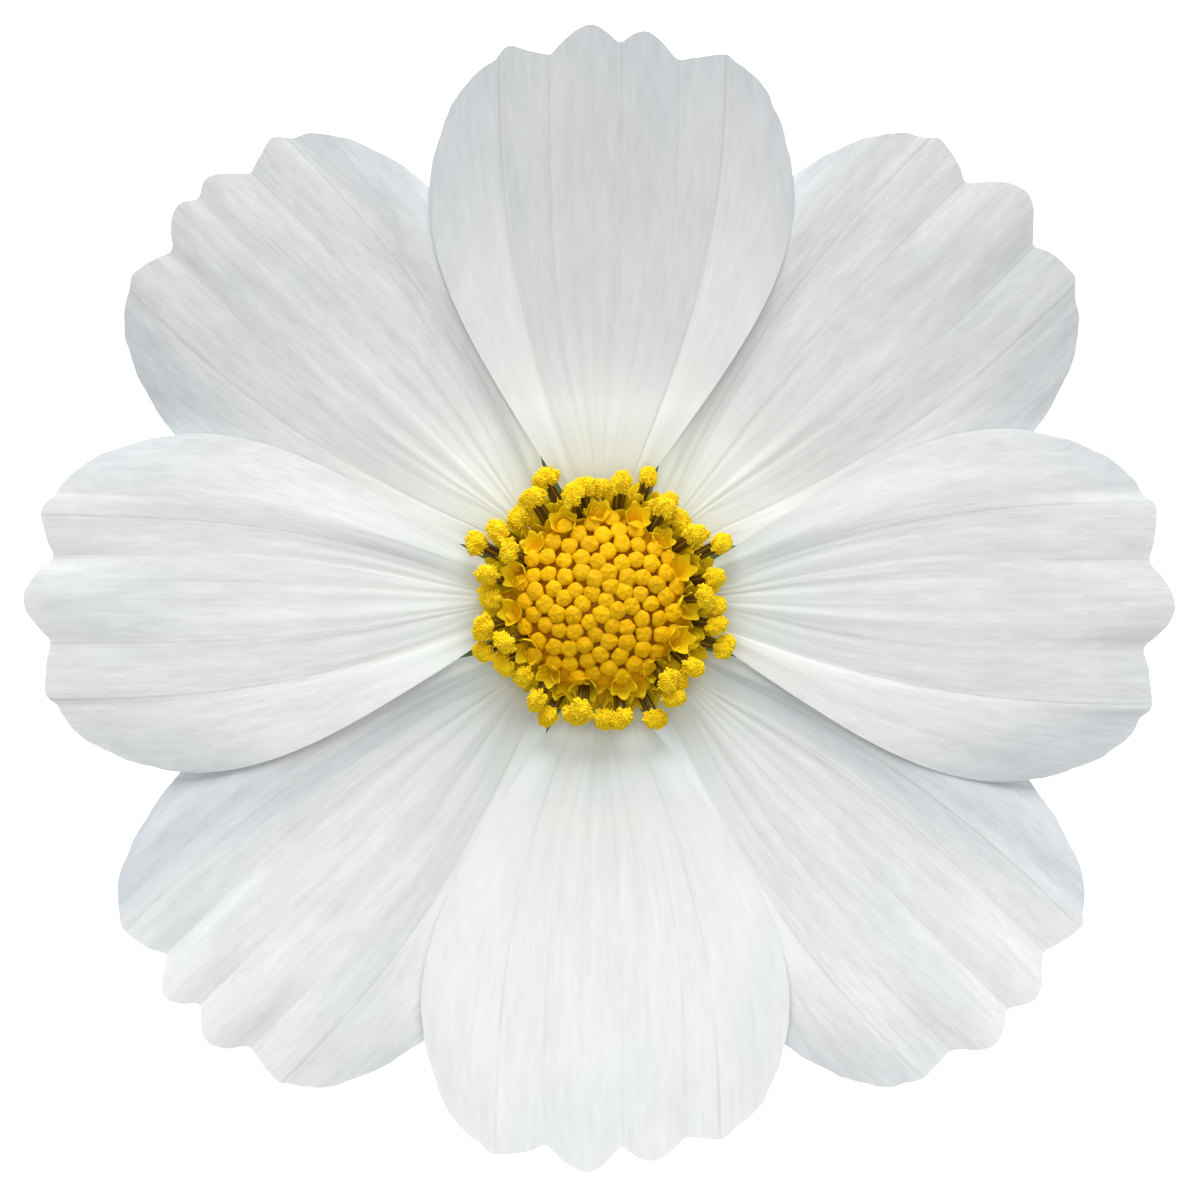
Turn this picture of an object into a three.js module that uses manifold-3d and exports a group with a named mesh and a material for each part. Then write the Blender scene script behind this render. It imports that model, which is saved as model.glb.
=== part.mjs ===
// A white garden cosmos flower head as picked, lying face up on a surface: eight petals in two layers,
// the yellow disc with its closed buds and its ring of open florets, and the green cup and bracts below.
// It rests on the tips of its outer bracts and on the cut end of its stalk.
// Millimetres, +Z up. The origin is on the flower's axis, in the plane that it rests on, and +Y is the
// direction of the first upper petal.
import * as THREE from "three";
import { mergeVertices } from "three/addons/utils/BufferGeometryUtils.js";
import Module from "manifold-3d";

const wasm = await Module();
wasm.setup();

// ---- Driving dimensions -------------------------------------------------------------------------

const seatGap = 0.3; // clearance between pieces that touch on the real flower
const bladeThickness = 0.68; // of a petal, measured straight up
const bractThickness = 0.6;

// Petals: "along" runs out from the flower's axis, "across" to the left of it seen from above.
const clawRadius = 4.6; // where a petal's narrow foot starts
const clawHalfWidth = 1.5;
const widestAlong = 26.5; // where a petal is widest
const fillExponent = 1.2; // how soon a petal widens from its claw
const wingExponent = 1.7; // 2 would make the wing's margin a quarter of an ellipse
const creaseBunching = 2.5; // how far the lengthwise folds crowd to the margins at the claw
const shelfAlong = 13; // where a petal has come up out of the cup and is level
const tipAlong = 37;
const riseExponent = 1.3; // 1 would make the blade beyond the shelf straight
const liftStart = 7; // a wing starts to lift here
const liftWhole = 13; // and can have its whole lift from here on
const liftExponent = 0.7; // below 1, the wing is highest in the petal's inner half
const lobeRelief = 0.35; // how far a lobe stands above the groove beside it
const lobeReachForRelief = 2; // reach past its shoulder at which a lobe has its whole relief
const reliefWholeShare = 0.3; // the ribs behind the lobes have their whole relief from here on
const petalRows = [0, 0.1, 0.22, 0.38, 0.56, 0.74, 0.89, 1];
const wingColumns = [0.42, 0.74, 0.94, 1];

// Both layers open like a wide bowl, the upper one over the lower. The wings of the upper petals lift at
// the base and come down on the lower petals where they are widest.
const upperLayer = { shelf: 7.45, rise: 3.9, wingLift: 0.9, wingDrop: 0.1 };
const lowerLayer = { shelf: 5.95, rise: 4, wingLift: 0.2, wingDrop: 0.2 };

// Each petal: its direction in degrees from +X, its half widths to the right and to the left, and its toothed
// end from the right shoulder to the left one as [across, along].
const petals = [
  {
    name: "petal_upper_1",
    direction: 90,
    layer: upperLayer,
    halfWidths: [12.7, 11.2],
    teeth: [[-9, 34.9], [-8.2, 35.6], [-6.4, 35.4], [-5, 35.1], [-2.9, 37.1], [-1.3, 36.2], [0.6, 37.5],
      [3.2, 35.5], [4.6, 35.8], [6.1, 36.2], [6.9, 35]],
  },
  {
    name: "petal_lower_1",
    direction: 45,
    layer: lowerLayer,
    halfWidths: [12.4, 10.9],
    teeth: [[-8, 35.7], [-7, 36.9], [-5.2, 36.9], [-3.6, 36.2], [-0.8, 38.5], [2.4, 36], [3.8, 36.7],
      [5.7, 37], [6.5, 36.1]],
  },
  {
    name: "petal_upper_2",
    direction: 0,
    layer: upperLayer,
    halfWidths: [11.9, 11.2],
    teeth: [[-7.8, 35.1], [-7, 36], [-4.6, 35.8], [-3.2, 35.3], [-0.4, 37.5], [2.5, 35.7], [4.2, 36.2],
      [6.2, 36.3], [7, 35.2]],
  },
  {
    name: "petal_lower_2",
    direction: -45,
    layer: lowerLayer,
    halfWidths: [12.3, 11.6],
    teeth: [[-8.2, 36.3], [-7.3, 37], [-4.5, 36.9], [-2.2, 38.7], [0, 37.5], [1.6, 38.5], [4.1, 36.6],
      [7.1, 37.3], [8, 36.5]],
  },
  {
    name: "petal_upper_3",
    direction: -90,
    layer: upperLayer,
    halfWidths: [11.7, 12.4],
    teeth: [[-7.8, 35.3], [-6.9, 36.2], [-5, 36], [-3.5, 35.4], [-0.8, 37.3], [1.4, 35.5], [3.3, 36.6],
      [5.5, 35], [8, 35.2], [8.8, 34.3]],
  },
  {
    name: "petal_lower_3",
    direction: -135,
    layer: lowerLayer,
    halfWidths: [11.5, 12.4],
    teeth: [[-8, 36.3], [-6.9, 37.2], [-5.2, 37], [-3.6, 36.2], [-1.6, 38.4], [0.2, 36.9], [2.3, 38.5],
      [4.4, 36.7], [7.3, 37.1], [8.2, 36.4]],
  },
  {
    name: "petal_upper_4",
    direction: 180,
    layer: upperLayer,
    halfWidths: [10.9, 11.3],
    teeth: [[-6.9, 35.4], [-5.9, 36.5], [-4.4, 36.2], [-2.8, 35.5], [-0.1, 37.6], [2.7, 35.7], [4, 36.1],
      [6.1, 36.2], [6.9, 35.3]],
  },
  {
    name: "petal_lower_4",
    direction: 135,
    layer: lowerLayer,
    halfWidths: [11.3, 12.1],
    teeth: [[-7.2, 35.4], [-6.1, 36.5], [-5.2, 36.3], [-3.5, 35.7], [-1.2, 37.6], [0, 36.9], [1.2, 37.7],
      [3.6, 35.8], [6.7, 36.6], [7.6, 35.8]],
  },
];

// The cup: profile as [radius, height] from the stalk's cut end to the seat of the disc and the claws.
const seatHeight = 4.9;
const cupProfile = [[0, 0], [1.2, 0], [1.25, 0.6], [2.3, 1.1], [2.4, 1.9], [3.5, 2.4], [4.4, 2.9],
  [4.6, 3.9], [4.4, 4.6], [4, seatHeight], [0, seatHeight]];
const cupSides = 24;

// Bracts: the middle line in the plane of the axis as start, bend and end, each [radius, height]. The outer
// ones come down to the surface, where their tips lie flat.
const outerBract = {
  line: [[2.95, 1.05], [6.8, 2.6], [10.8, -1.7]],
  halfWidth: 1.15,
  keel: 0.15,
  direction: 22.5,
};
const innerBract = {
  line: [[4.9, 3.1], [6.6, 3.4], [10, 4.55]],
  halfWidth: 2.1,
  keel: 0.3,
  direction: 0,
};
const bractRows = [0, 0.18, 0.4, 0.62, 0.8, 1];
const bractCount = 8;
// A bract's width over its length: its least share, and where in a half wave of sine its foot starts.
const bractWidth = { least: 0.12, foot: 0.22, exponent: 0.85 };

// The dome of closed buds.
const domeFootRadius = 2.4;
const domeNeckHeight = 7.5;
const domeRadius = 5;
const domeRimHeight = 8.4;
const domeTop = 10.9;
const domeRings = [1, 0.9, 0.66, 0.36]; // of the dome's radius
const domeSides = 12;
const budCount = 78;
const budSpacing = 0.56; // radius of the n-th bud over the root of n
const budRadius = 0.56;
const budProud = 0.85; // how far a bud stands out of the dome
const budRoot = 0.5; // how deep it is sunk
const budLean = 36; // degrees, at the dome's rim
const budLeanExponent = 1.5;
const budTwist = 36; // degrees, from one bud to the next
const goldenAngle = 180 * (3 - Math.sqrt(5));

// The collar that the open florets grow from, a closed profile of [radius, height].
const collarProfile = [[2.7, 5.2], [3.9, 5.2], [4.35, 7], [6.1, 7.5], [7.1, 8], [6.9, 8.4], [5.9, 8.5],
  [5.4, 8.1], [2.7, 7.2], [2.7, 5.2]];
const lateBuds = { count: 18, radius: 6.05, height: 8.45, lean: 24, turn: 0, girth: 1.25 };
const collarSides = 16;
const floretRings = [
  { count: 16, radius: 6.55, height: 8.1, lean: 33, turn: 2 },
  { count: 20, radius: 6.65, height: 7.9, lean: 57, turn: 13.5 },
];
const floretTwist = 40; // degrees, from one floret to the next
const floretGapReach = 0.4; // extra length of the florets that stand over the gaps between petals

// One open floret, along its own axis from its root: [distance, radius], with the star-shaped rim between.
const floretRoot = [[-0.5, 0.3], [0.35, 0.42]];
const floretRim = { distance: 1.1, lobe: 0.98, notch: 0.6, flare: 0.2 };
const floretHeart = [[0.85, 0.4], [1.6, 0.4], [1.8, 0.6], [2.35, 0.45]];
const floretApex = 2.65;
const floretSides = 5;

const white = { color: 0xe9ebea, roughness: 0.6, metalness: 0 };
const yellow = { color: 0xeec00f, roughness: 0.7, metalness: 0 };
const gold = { color: 0xd9a50c, roughness: 0.7, metalness: 0 };
const green = { color: 0x4d6b2c, roughness: 0.65, metalness: 0 };
const paleGreen = { color: 0x8f9a4e, roughness: 0.6, metalness: 0 };

// ---- Helpers ------------------------------------------------------------------------------------

const radians = THREE.MathUtils.degToRad;
const { lerp, smoothstep } = THREE.MathUtils;

function namedMesh(name, geometry, finish) {
  const mesh = new THREE.Mesh(geometry, new THREE.MeshStandardMaterial(finish));
  mesh.name = name;
  return mesh;
}

// A closed indexed geometry from points and triangles.
function indexedGeometry(points, triangles) {
  const geometry = new THREE.BufferGeometry();
  geometry.setAttribute("position", new THREE.Float32BufferAttribute(points.flat(), 3));
  geometry.setIndex(triangles.flat());
  geometry.computeVertexNormals();
  return geometry;
}

// A blade from rows of points on its underside, each row from right to left. Both faces are split along the
// same diagonals, and a rim joins them.
function bladeGeometry(rows, thickness) {
  const columnCount = rows[0].length;
  const under = rows.flat();
  const over = under.map(([x, y, z]) => [x, y, z + thickness]);
  const at = (row, column) => row * columnCount + column;
  const triangles = [];
  const facePair = (a, b, c) => {
    triangles.push([a + under.length, b + under.length, c + under.length]);
    triangles.push([a, c, b]);
  };
  for (let row = 0; row + 1 < rows.length; row++) {
    for (let column = 0; column + 1 < columnCount; column++) {
      facePair(at(row, column), at(row + 1, column), at(row + 1, column + 1));
      facePair(at(row, column), at(row + 1, column + 1), at(row, column + 1));
    }
  }
  const rim = [];
  for (let row = 0; row < rows.length; row++) rim.push(at(row, 0));
  for (let column = 1; column < columnCount; column++) rim.push(at(rows.length - 1, column));
  for (let row = rows.length - 2; row >= 0; row--) rim.push(at(row, columnCount - 1));
  for (let column = columnCount - 2; column > 0; column--) rim.push(at(0, column));
  rim.forEach((a, i) => {
    const b = rim[(i + 1) % rim.length];
    triangles.push([a, b, b + under.length]);
    triangles.push([a, b + under.length, a + under.length]);
  });
  return indexedGeometry([...under, ...over], triangles);
}

// A solid of revolution about +Z from [radius, height] points.
function turnedGeometry(profile, sides) {
  const points = profile.map(([radius, height]) => new THREE.Vector2(radius, height));
  return new THREE.LatheGeometry(points, sides).rotateX(Math.PI / 2);
}

function toSolid(geometry) {
  const bare = geometry.clone();
  bare.deleteAttribute("normal");
  bare.deleteAttribute("uv");
  const merged = mergeVertices(bare, 1e-4);
  return new wasm.Manifold(
    new wasm.Mesh({
      numProp: 3,
      vertProperties: merged.attributes.position.array,
      triVerts: new Uint32Array(merged.index.array),
    }),
  );
}

function toGeometry(solid) {
  const mesh = solid.getMesh();
  const geometry = new THREE.BufferGeometry();
  geometry.setAttribute("position", new THREE.Float32BufferAttribute(mesh.vertProperties, 3));
  geometry.setIndex(new THREE.Uint32BufferAttribute(mesh.triVerts, 1));
  geometry.computeVertexNormals();
  return geometry;
}

// A core with its repeats fused in.
function fused(core, repeats) {
  return toGeometry(repeats.reduce((whole, repeat) => whole.add(toSolid(repeat)), toSolid(core)));
}

// Stands a geometry made along +Z at a radius, height and azimuth, leaning outwards.
function planted(geometry, radius, height, azimuth, lean, twist) {
  return geometry
    .clone()
    .rotateZ(radians(twist))
    .rotateY(radians(lean))
    .translate(radius, 0, height)
    .rotateZ(radians(azimuth));
}

// ---- Petals -------------------------------------------------------------------------------------

// The margin of the end, from the widest point on the right to that on the left.
function petalMargin({ halfWidths, teeth }) {
  const wing = (shoulder, edge) =>
    wingColumns.map((q) => [
      lerp(shoulder[0], edge, q),
      widestAlong + (shoulder[1] - widestAlong) * Math.pow(1 - Math.pow(q, wingExponent), 1 / wingExponent),
    ]);
  const right = wing(teeth[0], -halfWidths[0]).reverse();
  const left = wing(teeth[teeth.length - 1], halfWidths[1]);
  return [...right, ...teeth, ...left];
}

// Height of the underside along the middle of a petal: a quarter of an arch up from the claw to the shelf,
// and from there a slope that steepens outwards.
function bladeHeight(along, { shelf, rise }) {
  const outer = (along - shelfAlong) / (tipAlong - shelfAlong);
  if (outer > 0) return shelf + rise * Math.pow(outer, riseExponent);
  const inner = (shelfAlong - along) / (shelfAlong - clawRadius);
  return shelf - (shelf - seatHeight - seatGap) * inner * inner;
}

function petalGeometry(petal) {
  const { layer, halfWidths, teeth } = petal;
  const margin = petalMargin(petal);
  const shoulders = [teeth[0], teeth[teeth.length - 1]];
  const rows = petalRows.map((share) =>
    margin.map(([marginAcross, marginAlong]) => {
      const side = marginAcross < 0 ? 0 : 1;
      const edge = halfWidths[side];
      const shoulder = shoulders[side];
      const along = lerp(clawRadius, marginAlong, share);
      const halfWidth = lerp(clawHalfWidth, edge, Math.sin((Math.PI / 2) * Math.pow(share, fillExponent)));
      const bunching = creaseBunching * Math.pow(1 - share, 2);
      const part = marginAcross / edge;
      const across = (halfWidth * part * (1 + bunching)) / (1 + bunching * Math.abs(part));
      const beyond = Math.abs(marginAcross) - Math.abs(shoulder[0]);
      const wing = Math.max(0, beyond / (edge - Math.abs(shoulder[0])));
      const lobe = beyond > 0 ? 0 : Math.max(0, (marginAlong - shoulder[1]) / lobeReachForRelief);
      const wave = Math.sin(Math.PI * Math.pow(share, liftExponent));
      const swell = wave * smoothstep(along, liftStart, liftWhole);
      const fall = layer.wingDrop * share * share;
      const relief = lobeRelief * lobe * smoothstep(share, 0, reliefWholeShare);
      return [along, across, bladeHeight(along, layer) + relief + wing * (layer.wingLift * swell - fall)];
    }),
  );
  return bladeGeometry(rows, bladeThickness);
}

function makePetals() {
  const group = new THREE.Group();
  for (const petal of petals) {
    const mesh = namedMesh(petal.name, petalGeometry(petal), white);
    mesh.rotation.z = radians(petal.direction);
    group.add(mesh);
  }
  return group;
}

// ---- Cup and bracts -----------------------------------------------------------------------------

function bractGeometry({ line, halfWidth, keel }) {
  const [start, bend, end] = line.map(([radius, height]) => new THREE.Vector2(radius, height));
  const curve = new THREE.QuadraticBezierCurve(start, bend, end);
  const { least, foot, exponent } = bractWidth;
  const rows = bractRows.map((share) => {
    const { x: radius, y: height } = curve.getPoint(share);
    const half = halfWidth * lerp(Math.sin(Math.PI * lerp(foot, 1, Math.pow(share, exponent))), 1, least);
    return [
      [radius, -half, Math.max(0, height + keel)],
      [radius, 0, Math.max(0, height)],
      [radius, half, Math.max(0, height + keel)],
    ];
  });
  return bladeGeometry(rows, bractThickness);
}

function makeBracts(name, bract, finish) {
  const group = new THREE.Group();
  const geometry = bractGeometry(bract);
  for (let i = 0; i < bractCount; i++) {
    const mesh = namedMesh(`${name}_${i + 1}`, geometry, finish);
    mesh.rotation.z = radians(bract.direction + (360 / bractCount) * i);
    group.add(mesh);
  }
  return group;
}

function makeCup() {
  return namedMesh("receptacle", turnedGeometry(cupProfile, cupSides), green);
}

// ---- Disc ---------------------------------------------------------------------------------------

function domeSurface(radius) {
  const share = Math.min(1, radius / domeRadius);
  return domeRimHeight + (domeTop - domeRimHeight) * Math.sqrt(1 - share * share);
}

function domeGeometry() {
  const footHeight = seatHeight + seatGap;
  const profile = [[0, footHeight], [domeFootRadius, footHeight], [domeFootRadius, domeNeckHeight]];
  for (const share of domeRings) profile.push([domeRadius * share, domeSurface(domeRadius * share)]);
  profile.push([0, domeTop]);
  return turnedGeometry(profile, domeSides);
}

// A closed floret along +Z, standing out of what it grows from at height 0.
function budGeometry() {
  const profile = [[0, -budRoot], [budRadius * 0.8, -budRoot], [budRadius, budProud * 0.3],
    [budRadius * 0.75, budProud * 0.78], [0, budProud]];
  return turnedGeometry(profile, floretSides);
}

function makeBuds() {
  const bud = budGeometry();
  const buds = [];
  for (let n = 0; n < budCount; n++) {
    const radius = budSpacing * Math.sqrt(n + 0.5);
    const lean = budLean * Math.pow(radius / domeRadius, budLeanExponent);
    buds.push(planted(bud, radius, domeSurface(radius), goldenAngle * n, lean, budTwist * n));
  }
  return namedMesh("disc_buds", fused(domeGeometry(), buds), gold);
}

// One open floret along +Z: tube, five-lobed rim, dark heart and rounded tip, in one closed skin.
function floretGeometry(stretch) {
  const points = [];
  const ring = (distance, radius) => {
    const first = points.length;
    for (let i = 0; i < floretSides; i++) {
      const angle = (2 * Math.PI * i) / floretSides;
      points.push([radius * Math.cos(angle), radius * Math.sin(angle), distance]);
    }
    return first;
  };
  const starRing = ({ distance, lobe, notch, flare }) => {
    const first = points.length;
    for (let i = 0; i < 2 * floretSides; i++) {
      const angle = (Math.PI * i) / floretSides;
      const radius = i % 2 ? notch : lobe;
      points.push([radius * Math.cos(angle), radius * Math.sin(angle), distance + (i % 2 ? 0 : flare)]);
    }
    return first;
  };
  const triangles = [];
  const band = (low, high) => {
    for (let i = 0; i < floretSides; i++) {
      const next = (i + 1) % floretSides;
      triangles.push([low + i, low + next, high + next], [low + i, high + next, high + i]);
    }
  };
  const fan = (plain, star, outwards) => {
    for (let i = 0; i < floretSides; i++) {
      const next = (i + 1) % floretSides;
      const [tip, notch, nextTip] = [star + 2 * i, star + 2 * i + 1, star + 2 * next];
      const faces = [
        [plain + i, notch, tip],
        [plain + i, plain + next, notch],
        [plain + next, nextTip, notch],
      ];
      triangles.push(...faces.map((face) => (outwards ? face : [...face].reverse())));
    }
  };
  const root = floretRoot.map(([distance, radius]) => ring(distance, radius));
  const rim = starRing(floretRim);
  const heart = floretHeart.map(([distance, radius], i) => ring(distance + (i ? stretch : 0), radius));
  band(root[0], root[1]);
  fan(root[1], rim, true);
  fan(heart[0], rim, false);
  for (let i = 0; i + 1 < heart.length; i++) band(heart[i], heart[i + 1]);
  const top = heart[heart.length - 1];
  const apex = points.push([0, 0, floretApex + stretch]) - 1;
  for (let i = 0; i < floretSides; i++) triangles.push([top + i, top + ((i + 1) % floretSides), apex]);
  for (let i = 1; i + 1 < floretSides; i++) triangles.push([root[0], root[0] + i + 1, root[0] + i]);
  return indexedGeometry(points, triangles);
}

function makeOpenFlorets() {
  const florets = [];
  const lateBud = budGeometry().scale(lateBuds.girth, lateBuds.girth, 1);
  for (let i = 0; i < lateBuds.count; i++) {
    const azimuth = lateBuds.turn + (360 / lateBuds.count) * i;
    florets.push(planted(lateBud, lateBuds.radius, lateBuds.height, azimuth, lateBuds.lean, budTwist * i));
  }
  for (const { count, radius, height, lean, turn } of floretRings) {
    for (let i = 0; i < count; i++) {
      const azimuth = turn + (360 / count) * i;
      const overGap = (1 - Math.cos(radians(azimuth * bractCount))) / 2;
      const floret = floretGeometry(floretGapReach * overGap);
      florets.push(planted(floret, radius, height, azimuth, lean, floretTwist * i));
    }
  }
  return namedMesh("disc_open_florets", fused(turnedGeometry(collarProfile, collarSides), florets), yellow);
}

// ---- The whole flower head ----------------------------------------------------------------------

const flower = new THREE.Group();
flower.add(makePetals());
flower.add(makeBracts("bract_inner", innerBract, paleGreen));
flower.add(makeBracts("bract_outer", outerBract, green));
flower.add(makeCup());
flower.add(makeBuds());
flower.add(makeOpenFlorets());

export default flower;
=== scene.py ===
import math

import bpy
import numpy as np
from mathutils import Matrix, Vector


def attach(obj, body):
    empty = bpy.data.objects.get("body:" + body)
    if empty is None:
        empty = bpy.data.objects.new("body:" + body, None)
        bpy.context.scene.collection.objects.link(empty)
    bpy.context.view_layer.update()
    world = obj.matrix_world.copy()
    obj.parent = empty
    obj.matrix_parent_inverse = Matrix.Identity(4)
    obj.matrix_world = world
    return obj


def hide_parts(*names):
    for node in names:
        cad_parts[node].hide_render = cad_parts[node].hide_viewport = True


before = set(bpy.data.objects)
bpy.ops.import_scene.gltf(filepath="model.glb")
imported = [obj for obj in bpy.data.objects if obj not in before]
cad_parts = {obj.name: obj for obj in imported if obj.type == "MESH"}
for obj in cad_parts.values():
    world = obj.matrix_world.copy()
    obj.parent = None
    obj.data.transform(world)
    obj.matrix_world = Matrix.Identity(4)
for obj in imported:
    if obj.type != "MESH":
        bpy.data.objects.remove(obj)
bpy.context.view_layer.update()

# A white cosmos flower head, face up. Sizes are in millimetres and become metres where a mesh is made.
mm = 0.001
goldenAngle = math.pi * (3 - math.sqrt(5))
lobes = 5  # of every floret in the disc
scene = bpy.context.scene
print("frame loaded:", len(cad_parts), "nodes")


# Node trees. A Wire is an output socket that can be added, multiplied and so on.
class Wire:
    def __init__(self, tree, socket):
        self.tree = tree
        self.socket = socket

    def other(self, name):  # another output of the same node
        return Wire(self.tree, self.socket.node.outputs[name])

    def __add__(self, value):
        return self.tree.math("ADD", self, value)

    def __sub__(self, value):
        return self.tree.math("SUBTRACT", self, value)

    def __rsub__(self, value):
        return self.tree.math("SUBTRACT", value, self)

    def __mul__(self, value):
        return self.tree.math("MULTIPLY", self, value)

    def __truediv__(self, value):
        return self.tree.math("DIVIDE", self, value)

    def __rtruediv__(self, value):
        return self.tree.math("DIVIDE", value, self)

    def __pow__(self, value):
        return self.tree.math("POWER", self, value)

    __radd__ = __add__
    __rmul__ = __mul__


class Tree:
    def __init__(self, nodeTree):
        self.nodeTree = nodeTree

    def add(self, kind, settings=None, inputs=None, output=0):
        node = self.nodeTree.nodes.new(kind)
        for name, value in (settings or {}).items():
            setattr(node, name, value)
        for key, value in (inputs or {}).items():
            if isinstance(value, Wire):
                self.nodeTree.links.new(value.socket, node.inputs[key])
            else:
                node.inputs[key].default_value = value
        return Wire(self, node.outputs[output]) if node.outputs else None

    def math(self, operation, *values):
        return self.add("ShaderNodeMath", {"operation": operation}, dict(enumerate(values)))

    def smooth(self, value, start, end):  # 0 at start, 1 at end, level at both
        places = {"Value": value, "From Min": start, "From Max": end}
        return self.add("ShaderNodeMapRange", {"interpolation_type": "SMOOTHSTEP"}, places)

    def between(self, value, reach):  # up over the first two places, down over the last two
        return self.smooth(value, *reach[:2]) * (1 - self.smooth(value, *reach[2:]))

    def blend(self, share, low, high):
        return low + (high - low) * share

    def mixColor(self, share, low, high, blendType="MIX"):
        settings = {"data_type": "RGBA", "blend_type": blendType}
        return self.add("ShaderNodeMix", settings, {0: share, 6: low, 7: high}, output=2)

    def layered(self, color, *layers):  # each layer: how much of it shows, and its colour
        for share, other in layers:
            color = self.mixColor(share, color, other)
        return color

    def vector(self, x, y, z):
        return self.add("ShaderNodeCombineXYZ", None, {"X": x, "Y": y, "Z": z})

    def noise(self, place, scale, detail, roughness=0.5):
        inputs = {"Vector": place, "Scale": scale, "Detail": detail, "Roughness": roughness}
        return self.add("ShaderNodeTexNoise", None, inputs)

    def pattern(self, across, along, shift, values):  # noise drawn out along a blade
        scaleAcross, scaleAlong, detail, roughness = values
        place = self.vector(across * scaleAcross, along * scaleAlong, shift)
        return self.noise(place, 1.0, detail, roughness)

    def grain(self, scale, detail=3.0):
        return self.noise(self.add("ShaderNodeTexCoord", output="Object"), scale, detail)

    def number(self, name):  # a value that the mesh carries
        if self.nodeTree.bl_idname == "GeometryNodeTree":
            return self.add("GeometryNodeInputNamedAttribute", {"data_type": "FLOAT"}, {"Name": name})
        return self.add("ShaderNodeAttribute", {"attribute_name": name}, output="Fac")


def rgb(red, green, blue):
    return (red, green, blue, 1.0)


# Geometry Nodes: a tree with named inputs, and the mesh that it makes of a piece.
class GrowTree(Tree):
    def __init__(self, name, inputs):
        super().__init__(bpy.data.node_groups.new(name, "GeometryNodeTree"))
        interface = self.nodeTree.interface
        interface.new_socket("Geometry", in_out="OUTPUT", socket_type="NodeSocketGeometry")
        for label, kind in {"Geometry": "Geometry", **inputs, "Finish": "Material"}.items():
            interface.new_socket(label, in_out="INPUT", socket_type="NodeSocket" + kind)
        self.start = self.add("NodeGroupInput")

    def input(self, label):
        return self.start.other(label)

    def random(self, low, high, seed):  # one number for each point
        inputs = {2: low, 3: high, "Seed": seed}
        return self.add("FunctionNodeRandomValue", {"data_type": "FLOAT"}, inputs, output=1)

    def turnedAbout(self, angle):  # about the upright axis
        return self.add("FunctionNodeAxisAngleToRotation", None, {"Axis": (0, 0, 1), "Angle": angle})

    def copies(self, inputs):  # the object of the input Shape on each point
        settings = {"transform_space": "ORIGINAL"}
        shape = self.add("GeometryNodeObjectInfo", settings, {"Object": self.input("Shape")}, "Geometry")
        return self.add("GeometryNodeInstanceOnPoints", None, {"Instance": shape, **inputs})

    def finish(self, geometry):
        whole = self.add("GeometryNodeRealizeInstances", None, {"Geometry": geometry})
        inputs = {"Geometry": whole, "Material": self.input("Finish")}
        self.add("NodeGroupOutput", None, {"Geometry": self.add("GeometryNodeSetMaterial", None, inputs)})
        return self


def grow(piece, tree, values):
    modifier = piece.modifiers.new(tree.nodeTree.name, "NODES")
    modifier.node_group = tree.nodeTree
    for item in tree.nodeTree.interface.items_tree:
        if item.in_out == "INPUT" and item.name in values:
            modifier[item.identifier] = values[item.name]
    scene.collection.objects.link(piece)
    graph = bpy.context.evaluated_depsgraph_get()
    grown = bpy.data.meshes.new_from_object(
        piece.evaluated_get(graph), preserve_all_data_layers=True, depsgraph=graph
    )
    piece.modifiers.clear()
    piece.data = grown
    grown.name = piece.name
    grown.shade_smooth()
    return piece


def emptyPiece(name):
    return bpy.data.objects.new(name, bpy.data.meshes.new(name))


def hidden(shape):  # a shape that a tree repeats, and that is removed after that
    scene.collection.objects.link(shape)
    shape.hide_render = True
    return shape


# Meshes from arrays of points.
def meshPiece(name, points, faces, numbers=None):
    mesh = bpy.data.meshes.new(name)
    mesh.from_pydata((np.asarray(points, float) * mm).tolist(), [], faces)
    for label, values in (numbers or {}).items():
        layer = mesh.attributes.new(label, "FLOAT", "POINT")
        layer.data.foreach_set("value", np.asarray(values, np.float32))
    mesh.update()
    return bpy.data.objects.new(name, mesh)


def ramp(value, start, end):  # 0 at start, 1 at end
    return np.clip((value - start) / (end - start), 0, 1)


def around(sides):
    return np.arange(sides) * 2 * math.pi / sides


def bent(line, t):  # a curve from the first point to the last, drawn towards the middle one
    (r0, z0), (r1, z1), (r2, z2) = line
    radius = (1 - t) ** 2 * r0 + 2 * t * (1 - t) * r1 + t * t * r2
    height = (1 - t) ** 2 * z0 + 2 * t * (1 - t) * z1 + t * t * z2
    return radius, height


def turnedSkin(rings, sides):
    # rings: radius and height, each one number or an array round the axis; both ends close in a point
    angles = around(sides)
    points = []
    for ring in rings:
        radius, height = (value + 0 * angles for value in ring)
        points.append(np.stack([radius * np.cos(angles), radius * np.sin(angles), height], 1))
    points = np.concatenate(points)
    faces = []
    for low in range(0, len(points) - sides, sides):
        for side in range(sides):
            a, b = low + side, low + (side + 1) % sides
            faces.append((a, b, b + sides, a + sides))
    foot = len(points)
    last = foot - sides
    for side in range(sides):
        after = (side + 1) % sides
        faces.append((foot, after, side))
        faces.append((foot + 1, last + side, last + after))
    return np.concatenate([points, [points[:sides].mean(0)], [points[last:].mean(0)]]), faces


def bladeFaces(rows, columns):
    # both faces of a blade of rows x columns cells, the upper one's points after the lower one's, and its rim
    across = columns + 1
    over = (rows + 1) * across
    faces = []
    for row in range(rows):
        for column in range(columns):
            a = row * across + column
            b = a + across
            faces.append((a, a + 1, b + 1, b))
            faces.append((a + over, b + over, b + 1 + over, a + 1 + over))
    rim = [row * across for row in range(rows + 1)]
    rim += [rows * across + column for column in range(1, across)]
    rim += [row * across + columns for row in range(rows - 1, -1, -1)]
    rim += list(range(columns - 1, 0, -1))
    for a, b in zip(rim, rim[1:] + rim[:1]):
        faces.append((a, b, b + over, a + over))
    return faces


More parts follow.
